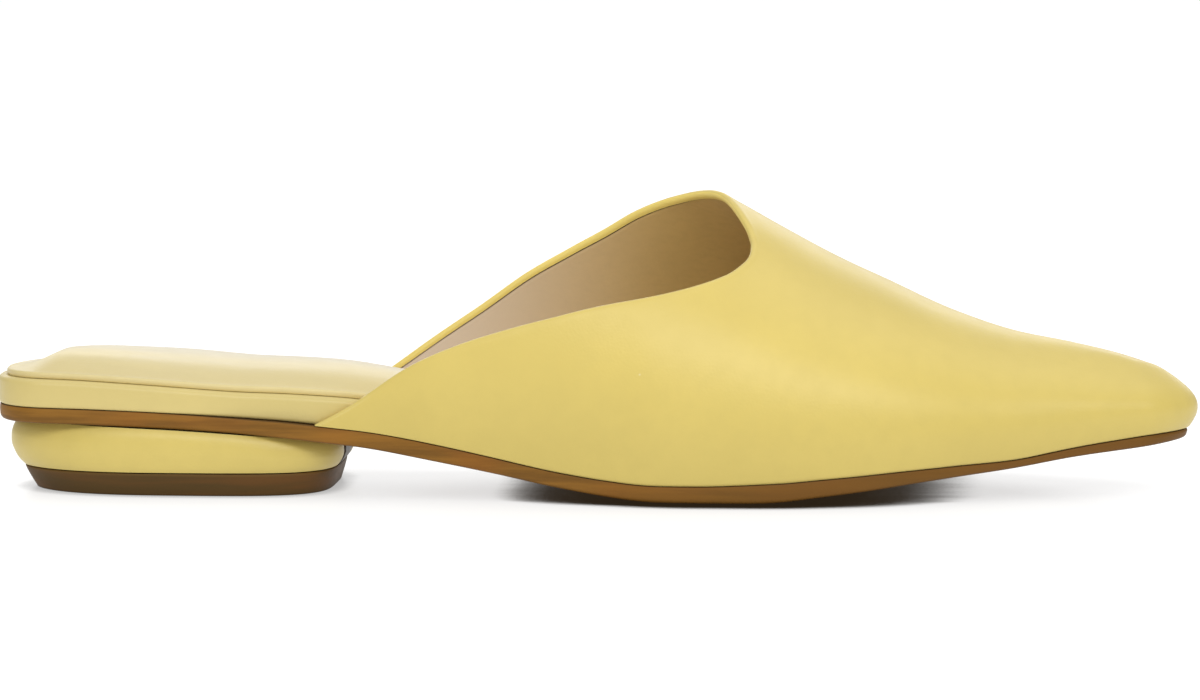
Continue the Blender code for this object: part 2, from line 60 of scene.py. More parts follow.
# Sizes of the last and of the layers, as in the solids
LENGTH = 268.0 * MM
BALL_WIDTH = 79.6 * MM
SEAT_WIDTH = 57.0 * MM
INSTEP_HEIGHT = 65.7 * MM
HEEL_RISE = 16.3 * MM
TOE_SPRING = 11.8 * MM
BACK_CORNER_OUTER = 13.0 * MM
BACK_CORNER_INNER = 48.0 * MM
BACK_OFFSET = 12.0 * MM
TOE_CORNER = 10.0 * MM
BACK_SQUARENESS_OUTER = 2.4
BACK_SQUARENESS_INNER = 1.8
TOE_SQUARENESS = 2.0
TOE_OVERHANG = 2.0 * MM
OUTSOLE_THICKNESS = 4.2 * MM
FOOTBED_THICKNESS = 5.6 * MM
SOCK_EDGE = 1.2 * MM
SOCK_CROWN = 3.8 * MM
SOCK_FULL_WIDTH = 45.6 * MM
SOCK_REAR_START = 4.0 * MM
SOCK_REAR_RUN = 14.0 * MM
SOCK_SQUARENESS = 2.4
UPPER_WALL = 1.8 * MM
UPPER_BULGE = 3.0 * MM
TOE_BULGE = 2.6 * MM
CLEARANCE = 0.3 * MM
LASTING_SLACK = 0.2 * MM
OUTSOLE_MARGIN = 0.4 * MM
OUTSOLE_EDGE_RADIUS = 1.0 * MM
OUTSOLE_EDGE_LIFT = 0.8 * MM
OUTSOLE_EDGE_BAND = 9.0 * MM
RAND_EDGE_RADIUS = 1.4 * MM
SOCK_MARGIN = 2.0 * MM
HEEL_LENGTH = 77.1 * MM
HEEL_WIDTH = 56.6 * MM
HEEL_SETBACK = 0.5 * MM
HEEL_SKEW = math.radians(-1.5)
HEEL_SQUARENESS = 2.5
HEEL_FRONT_SQUARENESS = 3.8
HEEL_REAR_CUT = 16.0 * MM
HEEL_CUT_START = 0.5
HEEL_CUT_POWER = 1.5
HEEL_PUFF = 3.0 * MM
HEEL_FRONT_SHARE = 0.5
LIFT_THICKNESS = 5.0 * MM
LIFT_TOP_MARGIN = 3.2 * MM
LIFT_TAPER = 2.4 * MM
LIFT_EDGE = 0.5 * MM
LIFT_EDGE_MARGIN = 0.9 * MM
BREAST_WIDTH = 15.0 * MM
BREAST_THICKNESS = 1.2 * MM

# Shares of the sole's length between which a form grows in or fades out
LASTING_RUN = (0.13, 0.262)
EDGE_LIFT_RISE = (0.30, 0.50)
EDGE_LIFT_FADE = (0.76, 0.92)
TREAD_RISE = (0.02, 0.10)
TREAD_FADE = (0.85, 0.97)
BULGE_RISE = (0.25, 0.45)

X_BACK = -LENGTH / 2
X_TOE = LENGTH / 2 - TOE_OVERHANG
SOLE_LENGTH = X_TOE - X_BACK

# Half widths of the sole before its ends are rounded: share of the sole's length, shares of the half
# seat width on the outer and inner side, shares of the half ball width on the outer and inner side
OUTLINE = (
    (0.00, 0.93, 1.03, 0.00, 0.00),
    (0.10, 0.97, 1.02, 0.00, 0.00),
    (0.20, 1.00, 0.97, 0.00, 0.00),
    (0.30, 0.99, 0.90, 0.00, 0.00),
    (0.38, 0.60, 0.50, 0.32, 0.27),
    (0.46, 0.20, 0.16, 0.70, 0.55),
    (0.54, 0.00, 0.00, 0.955, 0.77),
    (0.60, 0.00, 0.00, 1.00, 0.87),
    (0.66, 0.00, 0.00, 0.995, 0.94),
    (0.72, 0.00, 0.00, 0.925, 0.945),
    (0.78, 0.00, 0.00, 0.795, 0.85),
    (0.84, 0.00, 0.00, 0.625, 0.695),
    (0.90, 0.00, 0.00, 0.455, 0.518),
    (0.95, 0.00, 0.00, 0.322, 0.372),
    (1.00, 0.00, 0.00, 0.195, 0.222),
)

# Underside of the outsole: share of the sole's length, share of the heel rise, share of the spring
UNDERSIDE = (
    (0.00, 1.000, 0.00),
    (0.11, 0.955, 0.00),
    (0.17, 0.912, 0.00),
    (0.23, 0.840, 0.00),
    (0.30, 0.710, 0.00),
    (0.36, 0.538, 0.00),
    (0.42, 0.345, 0.00),
    (0.475, 0.160, 0.00),
    (0.515, 0.058, 0.00),
    (0.54, 0.014, 0.00),
    (0.56, 0.000, 0.00),
    (0.62, 0.000, 0.000),
    (0.66, 0.000, 0.026),
    (0.69, 0.000, 0.105),
    (0.73, 0.000, 0.205),
    (0.76, 0.000, 0.292),
    (0.80, 0.000, 0.410),
    (0.85, 0.000, 0.560),
    (0.90, 0.000, 0.745),
    (0.96, 0.000, 0.889),
    (1.00, 0.000, 1.000),
)

# Share of the outsole's thickness that is left at each share of its length
OUTSOLE_SKIVE = (
    (0.00, 0.78),
    (0.12, 0.78),
    (0.20, 0.76),
    (0.26, 0.82),
    (0.31, 0.83),
    (0.36, 0.90),
    (0.44, 0.92),
    (0.50, 0.97),
    (0.56, 1.02),
    (0.60, 1.04),
    (0.65, 1.15),
    (0.69, 1.07),
    (0.75, 0.92),
    (0.80, 0.72),
    (0.87, 0.44),
    (0.90, 0.45),
    (0.93, 0.50),
    (0.96, 0.54),
    (1.00, 0.42),
)

# Share of the footbed's thickness at each share of its length
FOOTBED_FORM = (
    (0.00, 1.12),
    (0.06, 1.11),
    (0.12, 1.04),
    (0.20, 0.98),
    (0.25, 1.06),
    (0.31, 1.17),
    (0.36, 1.12),
    (0.44, 0.86),
    (0.52, 0.68),
    (1.00, 0.68),
)

# Ridge of the last: share of the sole's length, share of the instep height, and offset to the inner
# side as a share of the half ball width
RIDGE = (
    (0.26, 1.390, 0.20),
    (0.40, 1.320, 0.20),
    (0.50, 1.200, 0.18),
    (0.56, 1.085, 0.165),
    (0.60, 1.012, 0.155),
    (0.63, 0.945, 0.15),
    (0.66, 0.876, 0.14),
    (0.70, 0.788, 0.13),
    (0.75, 0.696, 0.115),
    (0.80, 0.605, 0.10),
    (0.85, 0.537, 0.08),
    (0.90, 0.495, 0.06),
    (0.94, 0.460, 0.05),
    (0.97, 0.423, 0.035),
    (1.00, 0.375, 0.025),
)

# Collar line from the outer rear tip round the throat to the inner rear tip: share of the sole's
# length, and turn round the last from -1 at the outer feather edge to 1 at the inner one
COLLAR = (
    (0.2725, -0.998),
    (0.302, -0.954),
    (0.348, -0.866),
    (0.392, -0.801),
    (0.438, -0.741),
    (0.485, -0.680),
    (0.542, -0.598),
    (0.586, -0.523),
    (0.6125, -0.453),
    (0.6268, -0.384),
    (0.6330, -0.328),
    (0.6340, -0.270),
    (0.6300, -0.205),
    (0.6215, -0.120),
    (0.6100, -0.005),
    (0.5940, 0.130),
    (0.5760, 0.235),
    (0.5540, 0.330),
    (0.5290, 0.425),
    (0.5030, 0.515),
    (0.4720, 0.595),
    (0.4340, 0.680),
    (0.3940, 0.772),
    (0.3480, 0.864),
    (0.3030, 0.955),
    (0.2830, 0.992),
)
THROAT_ROW = max(range(len(COLLAR)), key=lambda row: COLLAR[row][0])
TOE_FAN_START = 0.84
TOE_FAN_LAG = 10.5 * MM
TURN_LENGTH = 55.0 * MM
FRONT_FEATHER_SHARE = 0.67
TOE_BULGE_FALL = 3.4

# Side of the heel block: share of its height, and share of the puff by which it stands in
PUFF = (
    (0.00, 1.00),
    (0.10, 0.63),
    (0.28, 0.23),
    (0.50, 0.00),
    (0.72, 0.07),
    (0.90, 0.37),
    (1.00, 0.70),
)

# How finely the pieces are cut
OUTLINE_STEPS = 200
DECK_COLUMNS = 40
HEEL_TURNS = 260
COLLAR_STEPS_OUTER = 110
COLLAR_STEPS_INNER = 130
VAMP_STEPS = 90
WALL_STEPS = 34
COLLAR_SPAN_STEPS = 16
BLOCK_RINGS = 40
BLOCK_FRONT_TURNS = 24
BREAST_RINGS = 24
BREAST_TURNS = 40
LIFT_RINGS = 15
FINE_TURNS = 2000


# Curves of the last

@functools.lru_cache(maxsize=None)
def columns(table, column):
    """A column of a table against its first one, with the slopes of a smooth curve through it."""
    xs = [row[0] for row in table]
    ys = [row[column] for row in table]
    gaps = [b - a for a, b in zip(xs, xs[1:])]
    steps = [(ys[i + 1] - ys[i]) / gap for i, gap in enumerate(gaps)]
    out = [steps[0]]
    for i in range(1, len(steps)):
        mean = (steps[i - 1] * gaps[i] + steps[i] * gaps[i - 1]) / (gaps[i - 1] + gaps[i])
        out.append(mean if steps[i - 1] * steps[i] > 0 else 0.0)
    out.append(steps[-1])
    return xs, ys, out


def read(table, column, share):
    """Value of one column of a table at a share, on a smooth curve."""
    xs, ys, tangent = columns(table, column)
    share = min(max(share, xs[0]), xs[-1])
    i = max(k for k in range(len(xs) - 1) if xs[k] <= share)
    width = xs[i + 1] - xs[i]
    t = (share - xs[i]) / width
    return (
        ys[i] * (1 + 2 * t) * (1 - t) ** 2
        + tangent[i] * width * t * (1 - t) ** 2
        + ys[i + 1] * t * t * (3 - 2 * t)
        + tangent[i + 1] * width * t * t * (t - 1)
    )


def ramp(low, high, value):
    """Smooth step from 0 at low to 1 at high."""
    t = min(max((value - low) / (high - low), 0.0), 1.0)
    return t * t * (3 - 2 * t)


def share_of(x):
    return min(max((x - X_BACK) / SOLE_LENGTH, 0.0), 1.0)


def end_rounding(distance, reach, power):
    """Share of the full width at a distance from a rounded end."""
    if distance >= reach:
        return 1.0
    return (1 - (1 - max(distance, 0.0) / reach) ** power) ** (1 / power)


def half_width(share, side):
    """Half width of the sole before its back is rounded; side is -1 for the outer side, 1 for the inner."""
    column = 1 if side < 0 else 2
    width = read(OUTLINE, column, share) * SEAT_WIDTH / 2
    width += read(OUTLINE, column + 2, share) * BALL_WIDTH / 2
    return width * end_rounding((1 - share) * SOLE_LENGTH, TOE_CORNER, TOE_SQUARENESS)


def edge_point(share, side):
    """Point on the sole's outline; its rearmost point lies off the middle, to the outer side."""
    corner = BACK_CORNER_OUTER if side < 0 else BACK_CORNER_INNER
    power = BACK_SQUARENESS_OUTER if side < 0 else BACK_SQUARENESS_INNER
    rounding = end_rounding(share * SOLE_LENGTH, corner, power)
    y = side * half_width(share, side) * rounding - BACK_OFFSET * (1 - rounding)
    return Vector((X_BACK + share * SOLE_LENGTH, y, 0.0))


def underside(x):
    share = share_of(x)
    return read(UNDERSIDE, 1, share) * HEEL_RISE + read(UNDERSIDE, 2, share) * TOE_SPRING


def edge_lift(x):
    return OUTSOLE_EDGE_LIFT * ramp(*EDGE_LIFT_RISE, share_of(x)) * (1 - ramp(*EDGE_LIFT_FADE, share_of(x)))


def outsole_top(x):
    return underside(x) + read(OUTSOLE_SKIVE, 1, share_of(x)) * OUTSOLE_THICKNESS


def footbed_base(x):
    return outsole_top(x) + CLEARANCE


def footbed_top(x):
    return footbed_base(x) + read(FOOTBED_FORM, 1, share_of(x)) * FOOTBED_THICKNESS


def sock_base(x):
    return footbed_top(x) + CLEARANCE


def lasted_margin(share):
    return ramp(*LASTING_RUN, share) * (UPPER_WALL + CLEARANCE + LASTING_SLACK)


@functools.lru_cache(maxsize=None)
def sole_ring():
    """The sole's outline as share, point and inward direction: outer side to the toe, inner side back."""
    shares = [0.5 - 0.5 * math.cos(math.pi * k / OUTLINE_STEPS) for k in range(OUTLINE_STEPS + 1)]
    ring = [(s, edge_point(s, -1)) for s in shares]
    ring += [(s, edge_point(s, 1)) for s in reversed(shares[1:-1])]
    drawn = []
    for k, (share, point) in enumerate(ring):
        along = ring[(k + 1) % len(ring)][1] - ring[k - 1][1]
        drawn.append((share, point, Vector((-along.y, along.x, 0.0)).normalized()))
    return drawn


def ridge_point(share):
    lag = ramp(TOE_FAN_START, 2 - TOE_FAN_START, share) * 2 * TOE_FAN_LAG
    x = X_BACK + share * SOLE_LENGTH - lag
    own = share_of(x)
    return Vector((x, read(RIDGE, 2, own) * BALL_WIDTH / 2, read(RIDGE, 1, own) * INSTEP_HEIGHT))


def ridge_slope(x):
    step = 2.0 * MM
    low = read(RIDGE, 1, share_of(x - step))
    high = read(RIDGE, 1, share_of(x + step))
    return (high - low) * INSTEP_HEIGHT / (2 * step)


def bulge_size(share, angle):
    """How far the last bulges out at an angle above its feather edge; low and round at the toe."""
    toe = ramp(TOE_FAN_START, 1.0, share)
    fall = 1 + TOE_BULGE_FALL * toe
    fullest = 2 / math.sqrt(fall + 2) * ((fall + 1) / (fall + 2)) ** ((fall + 1) / 2)
    size = UPPER_BULGE + (TOE_BULGE - UPPER_BULGE) * toe
    return size * math.sin(2 * angle) * math.cos(angle) ** fall / fullest


def last_point(share, turn):
    """Point on the last's surface at a share of the length and a turn from -1 to 1 round it."""
    side = -1 if turn < 0 else 1
    ridge = ridge_point(share)
    feather = edge_point(min(share, 1.0), side)
    feather.z = footbed_base(feather.x)
    angle = (1 - min(abs(turn), 1.0)) * math.pi / 2
    rise = math.sin(angle)
    reach = math.cos(angle)
    flat = Vector((feather.x - ridge.x, feather.y - ridge.y, 0.0))
    bulge = bulge_size(share, angle) * ramp(*BULGE_RISE, share)
    point = Vector((ridge.x, ridge.y, 0.0)) + flat * reach + flat.normalized() * bulge
    point.z = feather.z + (ridge.z - feather.z) * rise
    point.z += ridge_slope(ridge.x) * flat.x * reach * (1 - reach) ** 2
    return point


def collar_curve(rows, count):
    """Evenly spaced points on the smooth curve through some rows of the collar table."""
    knots = [Vector((share * SOLE_LENGTH, turn * TURN_LENGTH)) for share, turn in rows]
    dense = []
    last = len(knots) - 1
    for i in range(last):
        before = knots[max(i - 1, 0)]
        after = knots[min(i + 2, last)]
        for k in range(COLLAR_SPAN_STEPS):
            t = k / COLLAR_SPAN_STEPS
            a = 2 * knots[i]
            b = knots[i + 1] - before
            c = 2 * before - 5 * knots[i] + 4 * knots[i + 1] - after
            d = 3 * knots[i] - before - 3 * knots[i + 1] + after
            dense.append((a + b * t + c * t * t + d * t ** 3) / 2)
    dense.append(knots[last])
    lengths = [0.0]
    for a, b in zip(dense, dense[1:]):
        lengths.append(lengths[-1] + (b - a).length)
    even = []
    i = 0
    for k in range(count):
        goal = lengths[-1] * k / (count - 1)
        while i < len(lengths) - 2 and lengths[i + 1] < goal:
            i += 1
        t = (goal - lengths[i]) / (lengths[i + 1] - lengths[i])
        point = dense[i].lerp(dense[i + 1], min(max(t, 0.0), 1.0))
        even.append((point.x / SOLE_LENGTH, point.y / TURN_LENGTH))
    return even


# Finishes

class Signal:
    """A socket that can be used in sums like a number; each sum adds a Math node."""

    def __init__(self, finish, socket):
        self.finish = finish
        self.socket = socket

    def maths(self, operation, first, second):
        return self.finish.node("ShaderNodeMath", {"operation": operation}, {0: first, 1: second})

    def __add__(self, other):
        return self.maths("ADD", self, other)

    def __sub__(self, other):
        return self.maths("SUBTRACT", self, other)

    def __rsub__(self, other):
        return self.maths("SUBTRACT", other, self)

    def __mul__(self, other):
        return self.maths("MULTIPLY", self, other)

    __radd__ = __add__
    __rmul__ = __mul__

    def fitted(self, low, high):
        """1 where the value is at high, 0 where it is at low, smooth between them."""
        settings = {"interpolation_type": "SMOOTHSTEP"}
        inputs = {"Value": self, "From Min": low, "From Max": high}
        return self.finish.node("ShaderNodeMapRange", settings, inputs)


class Finish:
    """A material being put together."""

    def __init__(self, name):
        self.material = bpy.data.materials.new(name)
        self.material.use_nodes = True
        self.tree = self.material.node_tree
        self.tree.nodes.clear()

    def node(self, kind, settings=None, inputs=None, out=0):
        """Make a node: its settings first, then the values or links of its sockets."""
        made = self.tree.nodes.new(kind)
        for key, value in (settings or {}).items():
            setattr(made, key, value)
        for key, value in (inputs or {}).items():
            if isinstance(value, Signal):
                self.tree.links.new(value.socket, made.inputs[key])
            else:
                made.inputs[key].default_value = value
        return Signal(self, made.outputs[out])

    def place(self, scale=(1.0, 1.0, 1.0)):
        """The object's own coordinates in metres, stretched by a scale."""
        here = self.node("ShaderNodeTexCoord", out="Object")
        return self.node("ShaderNodeMapping", {"vector_type": "POINT"}, {"Vector": here, "Scale": scale})

    def noise(self, scale, detail=2.0, stretch=(1.0, 1.0, 1.0), roughness=0.5):
        inputs = {"Vector": self.place(stretch), "Scale": scale, "Detail": detail, "Roughness": roughness}
        return self.node("ShaderNodeTexNoise", {}, inputs, "Fac")

    def cells(self, scale):
        inputs = {"Vector": self.place(), "Scale": scale}
        return self.node("ShaderNodeTexVoronoi", {"feature": "F1"}, inputs, "Distance")

    def along(self, axis):
        """One of the object's own coordinates in metres: 0 for its length, 1 for its width, 2 for up."""
        here = self.node("ShaderNodeTexCoord", out="Object")
        return self.node("ShaderNodeSeparateXYZ", {}, {"Vector": here}, axis)

    def mark(self, name):
        """A value that the mesh carries at each of its points."""
        return self.node("ShaderNodeAttribute", {"attribute_name": name}, {}, "Fac")

    def mixed(self, factor, first, second, blend="MIX"):
        """One colour over another by a factor."""
        first = first if isinstance(first, Signal) else (*first, 1.0)
        second = second if isinstance(second, Signal) else (*second, 1.0)
        settings = {"data_type": "RGBA", "blend_type": blend}
        return self.node("ShaderNodeMix", settings, {0: factor, 6: first, 7: second}, 2)

    def bumped(self, height, distance):
        return self.node("ShaderNodeBump", {}, {"Height": height, "Distance": distance, "Strength": 1.0})

    def done(self, inputs):
        shader = self.node("ShaderNodeBsdfPrincipled", {}, inputs)
        output = self.tree.nodes.new("ShaderNodeOutputMaterial")
        self.tree.links.new(shader.socket, output.inputs["Surface"])
        return self.material


def shade(colour, factor):
    return tuple(min(c * factor, 1.0) for c in colour[:3])


def leather(name, colour, grain, edge_shade=0.0, gloss=0.5, far=None, low=1.0):
    """Smooth dyed leather with fine grain, faint clouds and pale pinpricks.

    The edge shade darkens the edges that the mesh marks, as painted shade where the upper meets the sole;
    far is a paler colour towards the inner side, a painted reflection of the bright backdrop; and low is
    how much of its lightness the leather keeps near the feather edge, the rest being painted shade.
    """
    f = Finish(name)
    clouds = f.noise(22.0, 3.0)
    fine = f.noise(260.0, 3.0)
    pores = f.cells(1500.0)
    pricks = 1 - f.cells(95.0).fitted(0.035, 0.055)
    sparse = f.noise(34.0, 1.0).fitted(0.60, 0.66)
    base = f.mixed(clouds.fitted(0.35, 0.70), shade(colour, 0.965), shade(colour, 1.03))
    base = f.mixed(fine.fitted(0.3, 0.8) * 0.35, base, shade(colour, 0.93))
    # Painted shade: the leather is darker towards the bottom, near the feather edge, where the light falls
    # off.
    if low < 1.0:
        painted_low_shade = f.mixed(1.0, base, (low, low, low * 0.96), "MULTIPLY")
        base = f.mixed(f.along(2).fitted(6 * MM, 36 * MM), painted_low_shade, base)
    # Painted reflection: a paler colour towards the inner side stands in for the bright backdrop caught at a
    # grazing angle, with soft darker bands.
    if far is not None:
        bands = f.noise(30.0, 3.0, (0.35, 2.2, 1.0))
        base = f.mixed((f.along(1) + (bands - 0.5) * 0.03).fitted(-0.016, 0.014), base, far)
        base = f.mixed(bands.fitted(0.42, 0.62) * 0.35, base, shade(colour, 0.84))
    base = f.mixed(pricks * sparse * 0.5, base, (0.92, 0.88, 0.70))
    # Painted shade: the marked edges at the upper's foot, against the sole, are darkened.
    if edge_shade > 0.0:
        base = f.mixed(f.mark("edge") * edge_shade, base, shade(colour, 0.72))
    rough = 0.31 + fine * 0.10 + pores * 0.05
    height = pores * 0.7 + f.noise(700.0, 2.0) * 0.5 - pricks * sparse * 0.6
    normal = f.bumped(height, 0.03 * MM * grain)
    return f.done({"Base Color": base, "Roughness": rough, "Normal": normal,
                   "Sheen Weight": gloss * 0.2, "Specular IOR Level": gloss})


def lining_leather(name, colour, pale):
    """Soft unglazed napped lining leather, paler towards the rear: partly its own tone, partly painted
    light.
    """
    f = Finish(name)
    clouds = f.noise(30.0, 3.0)
    nap = f.noise(900.0, 4.0, (0.5, 1.0, 1.0))
    pores = f.cells(1100.0)
    # Paler towards the rear: partly the lining's own tone and partly painted light where light comes in at
    # the back of the opening.
    rear = 1 - f.along(0).fitted(-0.050, 0.022)
    base = f.mixed(clouds.fitted(0.3, 0.7), shade(colour, 0.93), shade(colour, 1.05))
    base = f.mixed(nap.fitted(0.35, 0.75) * 0.4, base, shade(colour, 0.85))
    base = f.mixed(rear, base, pale)
    # The dark seam line is partly the joint's own darkness and partly painted shade of the step down to the
    # lining; it is fainter towards the rear.
    base = f.mixed(f.mark("seam") * (1 - rear * 0.5), base, shade(colour, 0.12))
    normal = f.bumped(nap * 0.8 + pores * 0.4, 0.05 * MM)
    return f.done({"Base Color": base, "Roughness": 0.62 + nap * 0.15, "Normal": normal,
                   "Sheen Weight": 0.15})


def sole_leather(name, colour, dark):
    """Stained and burnished sole leather: streaks along the edge, painted shade towards the toe, dark top
    and bottom.
    """
    f = Finish(name)
    level = f.mark("level")
    streaks = f.noise(60.0, 4.0, (0.5, 1.0, 7.0), 0.6)
    patches = f.noise(28.0, 2.0, (1.0, 1.0, 2.0))
    fibres = f.noise(500.0, 3.0, (0.35, 1.0, 3.0))
    base = f.mixed(streaks.fitted(0.32, 0.68), shade(colour, 0.72), shade(colour, 1.22))
    base = f.mixed(patches.fitted(0.45, 0.7) * 0.5, base, (colour[0] * 1.35, colour[1] * 1.02, colour[2]))
    # Painted shade: the edge is darker towards the toe.
    base = f.mixed(f.along(0).fitted(-0.03, 0.05) * 0.8, base, shade(colour, 0.64))
    # Dark top and bottom of the edge: burnished, and along the top partly painted shade of the gap under the
    # upper.
    rim = level.fitted(0.88, 1.0) * 0.7 + (1 - level.fitted(0.03, 0.14)) * 0.45
    base = f.mixed(rim, base, dark)
    rough = 0.42 + streaks * 0.18
    normal = f.bumped(streaks * 0.6 + fibres * 0.5, 0.05 * MM)
    return f.done({"Base Color": base, "Roughness": rough, "Normal": normal,
                   "Specular IOR Level": 0.2})


def lift_rubber(name, colour, warm):
    """Dense satin top piece: faint long streaks, a slightly lighter top edge and painted shade along its
    bottom.
    """
    f = Finish(name)
    level = f.mark("level")
    streaks = f.noise(70.0, 3.0, (0.4, 1.0, 6.0))
    specks = f.noise(900.0, 2.0)
    base = f.mixed(streaks.fitted(0.3, 0.7), shade(colour, 0.85), warm)
    base = f.mixed(level.fitted(0.78, 0.98) * 0.6, base, shade(colour, 1.5))
    # Painted shade: the bottom of the lift is darkened where it meets the floor.
    base = f.mixed(1 - level.fitted(0.0, 0.12), base, shade(colour, 0.6))
    normal = f.bumped(specks * 0.6 + streaks * 0.4, 0.03 * MM)
    return f.done({"Base Color": base, "Roughness": 0.46 + specks * 0.12, "Normal": normal,
                   "Specular IOR Level": 0.18})


# Meshes

def make_piece(name, points, faces, materials, face_slots=None, marks=None, sharp=60.0):
    """A closed, smooth-shaded mesh object with facing-out normals."""
    mesh = bpy.data.meshes.new(name)
    mesh.from_pydata([tuple(p) for p in points], [], faces)
    if face_slots is not None:
        mesh.polygons.foreach_set("material_index", face_slots)
    for key, values in (marks or {}).items():
        layer = mesh.attributes.new(key, "FLOAT", "POINT")
        layer.data.foreach_set("value", values)
    bm = bmesh.new()
    bm.from_mesh(mesh)
    bmesh.ops.recalc_face_normals(bm, faces=bm.faces)
    bm.to_mesh(mesh)
    bm.free()
    mesh.shade_smooth()
    mesh.set_sharp_from_angle(angle=math.radians(sharp))
    obj = bpy.data.objects.new(name, mesh)
    for material in materials:
        mesh.materials.append(material)
    bpy.context.scene.collection.objects.link(obj)
    return obj


def mount(obj, node):
    """Put a piece in the place of its solid."""
    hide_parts(node)
    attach(obj, "root")


def strip(lower, upper, closed=True):
    """Quads between two rows of point numbers."""
    count = len(lower)
    last = count if closed else count - 1
    return [(lower[k], lower[(k + 1) % count], upper[(k + 1) % count], upper[k]) for k in range(last)]


def layer_mesh(levels, crown=None):
    """Rings of the sole's outline between two decks: each level is margin, height and, if any, its mark."""
    points = []
    marks = []
    rings = []
    for margin, height, *mark in levels:
        ring = []
        for share, edge, inward in sole_ring():
            point = edge + inward * margin(share)
            point.z = height(point.x)
            ring.append(len(points))
            points.append(point)
            marks.append(mark[0] if mark else 0.0)
        rings.append(ring)
    faces = []
    for lower, upper in zip(rings, rings[1:]):
        faces += strip(lower, upper)
    for ring, arch in ((rings[0], None), (rings[-1], crown)):
        rows = []
        for k in range(1, OUTLINE_STEPS):
            outer = points[ring[k]]
            inner = points[ring[-k]]
            row = [ring[k]]
            for c in range(1, DECK_COLUMNS):
                t = c / DECK_COLUMNS
                point = outer.lerp(inner, t)
                if arch is not None:
                    point.z += arch(outer, inner, t)
                row.append(len(points))
                points.append(point)
                marks.append(marks[ring[k]])
            rows.append(row + [ring[-k]])
        for near, far in zip(rows, rows[1:]):
            faces += strip(near, far, closed=False)
        for tip, row in ((ring[0], rows[0]), (ring[OUTLINE_STEPS], rows[-1])):
            faces += [(tip, a, b) for a, b in zip(row, row[1:])]
    return points, faces, marks


# Sizes and colours that a user would change

def length(name, text, value):
    return bpy.props.FloatProperty(name=name, description=text, default=value, unit="LENGTH")


def amount(name, text, value, kind="NONE"):
    return bpy.props.FloatProperty(name=name, description=text, default=value, subtype=kind)


def tint(name, text, value):
    return bpy.props.FloatVectorProperty(name=name, description=text, default=value, size=3, subtype="COLOR")


class MuleSizes(bpy.types.PropertyGroup):
    fold_band: length("Fold band", "Width of the leather turned in over the collar", 1.5 * MM)
    lining_step: length("Lining step", "How far the lining lies below the turned-in leather", 0.25 * MM)
    grain: amount("Grain", "Strength of the leather's grain", 1.0, "FACTOR")
    relief: length("Relief", "Depth of the soft unevenness of the lasted leather", 0.22 * MM)
    sock_waves: length("Sock waves", "Depth of the long soft waves of the padded sock", 0.22 * MM)


class MuleColours(bpy.types.PropertyGroup):
    leather: tint("Leather", "Upper, footbed and heel leather", (0.735, 0.572, 0.146))
    sock: tint("Sock", "Leather of the padded sock", (0.765, 0.63, 0.285))
    # Painted reflection: the sock's paler colour towards the inner side.
    sock_far_reflection: tint("Sock, inner side", "The sock where it is paler, towards the inner side",
                   (0.76, 0.70, 0.58))
    lining: tint("Lining", "Leather that lines the upper", (0.60, 0.395, 0.130))
    # Partly the lining's own paler tone and partly painted light behind the throat.
    lining_rear_tone_and_light: tint("Lining at the rear", "The lining where it is paler, behind the throat",
                      (0.74, 0.60, 0.46))
    sole: tint("Sole", "Edge of the outsole", (0.240, 0.108, 0.014))
    dark: tint("Dark edge", "Burnished edges of the sole and the breast cover", (0.05, 0.028, 0.010))
    lift: tint("Lift", "Heel lift", (0.100, 0.055, 0.013))


class MuleStage(bpy.types.PropertyGroup):
    floor: tint("Floor", "Colour of the studio floor", (0.20, 0.20, 0.20))
    glow: amount("Glow", "How brightly the studio floor is lit from below", 0.86)
    # Reach of the floor's painted contact shadow.
    contact: length("Contact", "How far the dark contact reaches out from under the shoe", 6.0 * MM)
    distance: length("Distance", "From the camera to the middle of the shoe", 1.3035)
    lens: amount("Lens", "Focal length in millimetres", 173.94)
    azimuth: amount("Azimuth", "Turn of the camera round the shoe", math.radians(3.0), "ANGLE")
    elevation: amount("Elevation", "Height of the camera's view", math.radians(6.0), "ANGLE")


# The upper

# Rings along the collar: distance from the rim, and how far the outer and the inner face lie below
# the last's outer surface, all as shares of the wall; the inner face steps down at the fold's end
RIM_RINGS = (
    (0.00, 0.50, 0.50),
    (0.035, 0.32, 0.68),
    (0.13, 0.165, 0.835),
    (0.30, 0.05, 0.95),
    (0.50, 0.00, 1.00),
)
# Rings past the fold's end: distance from it, and how many lining steps the inner face lies down there
SEAM_RINGS = (
    (0.06 * MM, 1.7),
    (0.28 * MM, 1.6),
    (0.45 * MM, 1.0),
    (1.20 * MM, 1.0),
)
# Rings at the foot of the upper: share of the column, and how far the outer face is turned in, as a
# share of the wall
FOOT_RINGS = (
    (0.000, 0.28),
    (0.004, 0.10),
    (0.011, 0.02),
    (0.020, 0.00),
)
# Rings at the foot that are darkened as painted shade where the upper meets the sole, and rings over which
# the relief fades in above the foot
SHADED_FOOT_RINGS = 2
CALM_RINGS = 8
# Turns up to this one count as the ridge
RIDGE_TURN = 0.2


def leather_relief(share, turn):
    """Soft troughs and ridges of the lasted leather, between -1 and 1."""
    point = Vector((share * 9.0, turn * 2.4, 3.7))
    waves = 0.8 * noise.noise(point) + 0.35 * noise.noise(point * 2.3 + Vector((5.0, 1.0, 0.0)))
    break_line = math.exp(-((share - 0.665 - 0.05 * turn * turn) / 0.022) ** 2)
    pulls = math.sin(share * 150.0 + 2.0 * turn) * ramp(0.86, 0.99, abs(turn)) * ramp(0.74, 0.86, share)
    return waves - 0.35 * break_line * ramp(0.15, 0.5, abs(turn)) + 0.18 * pulls


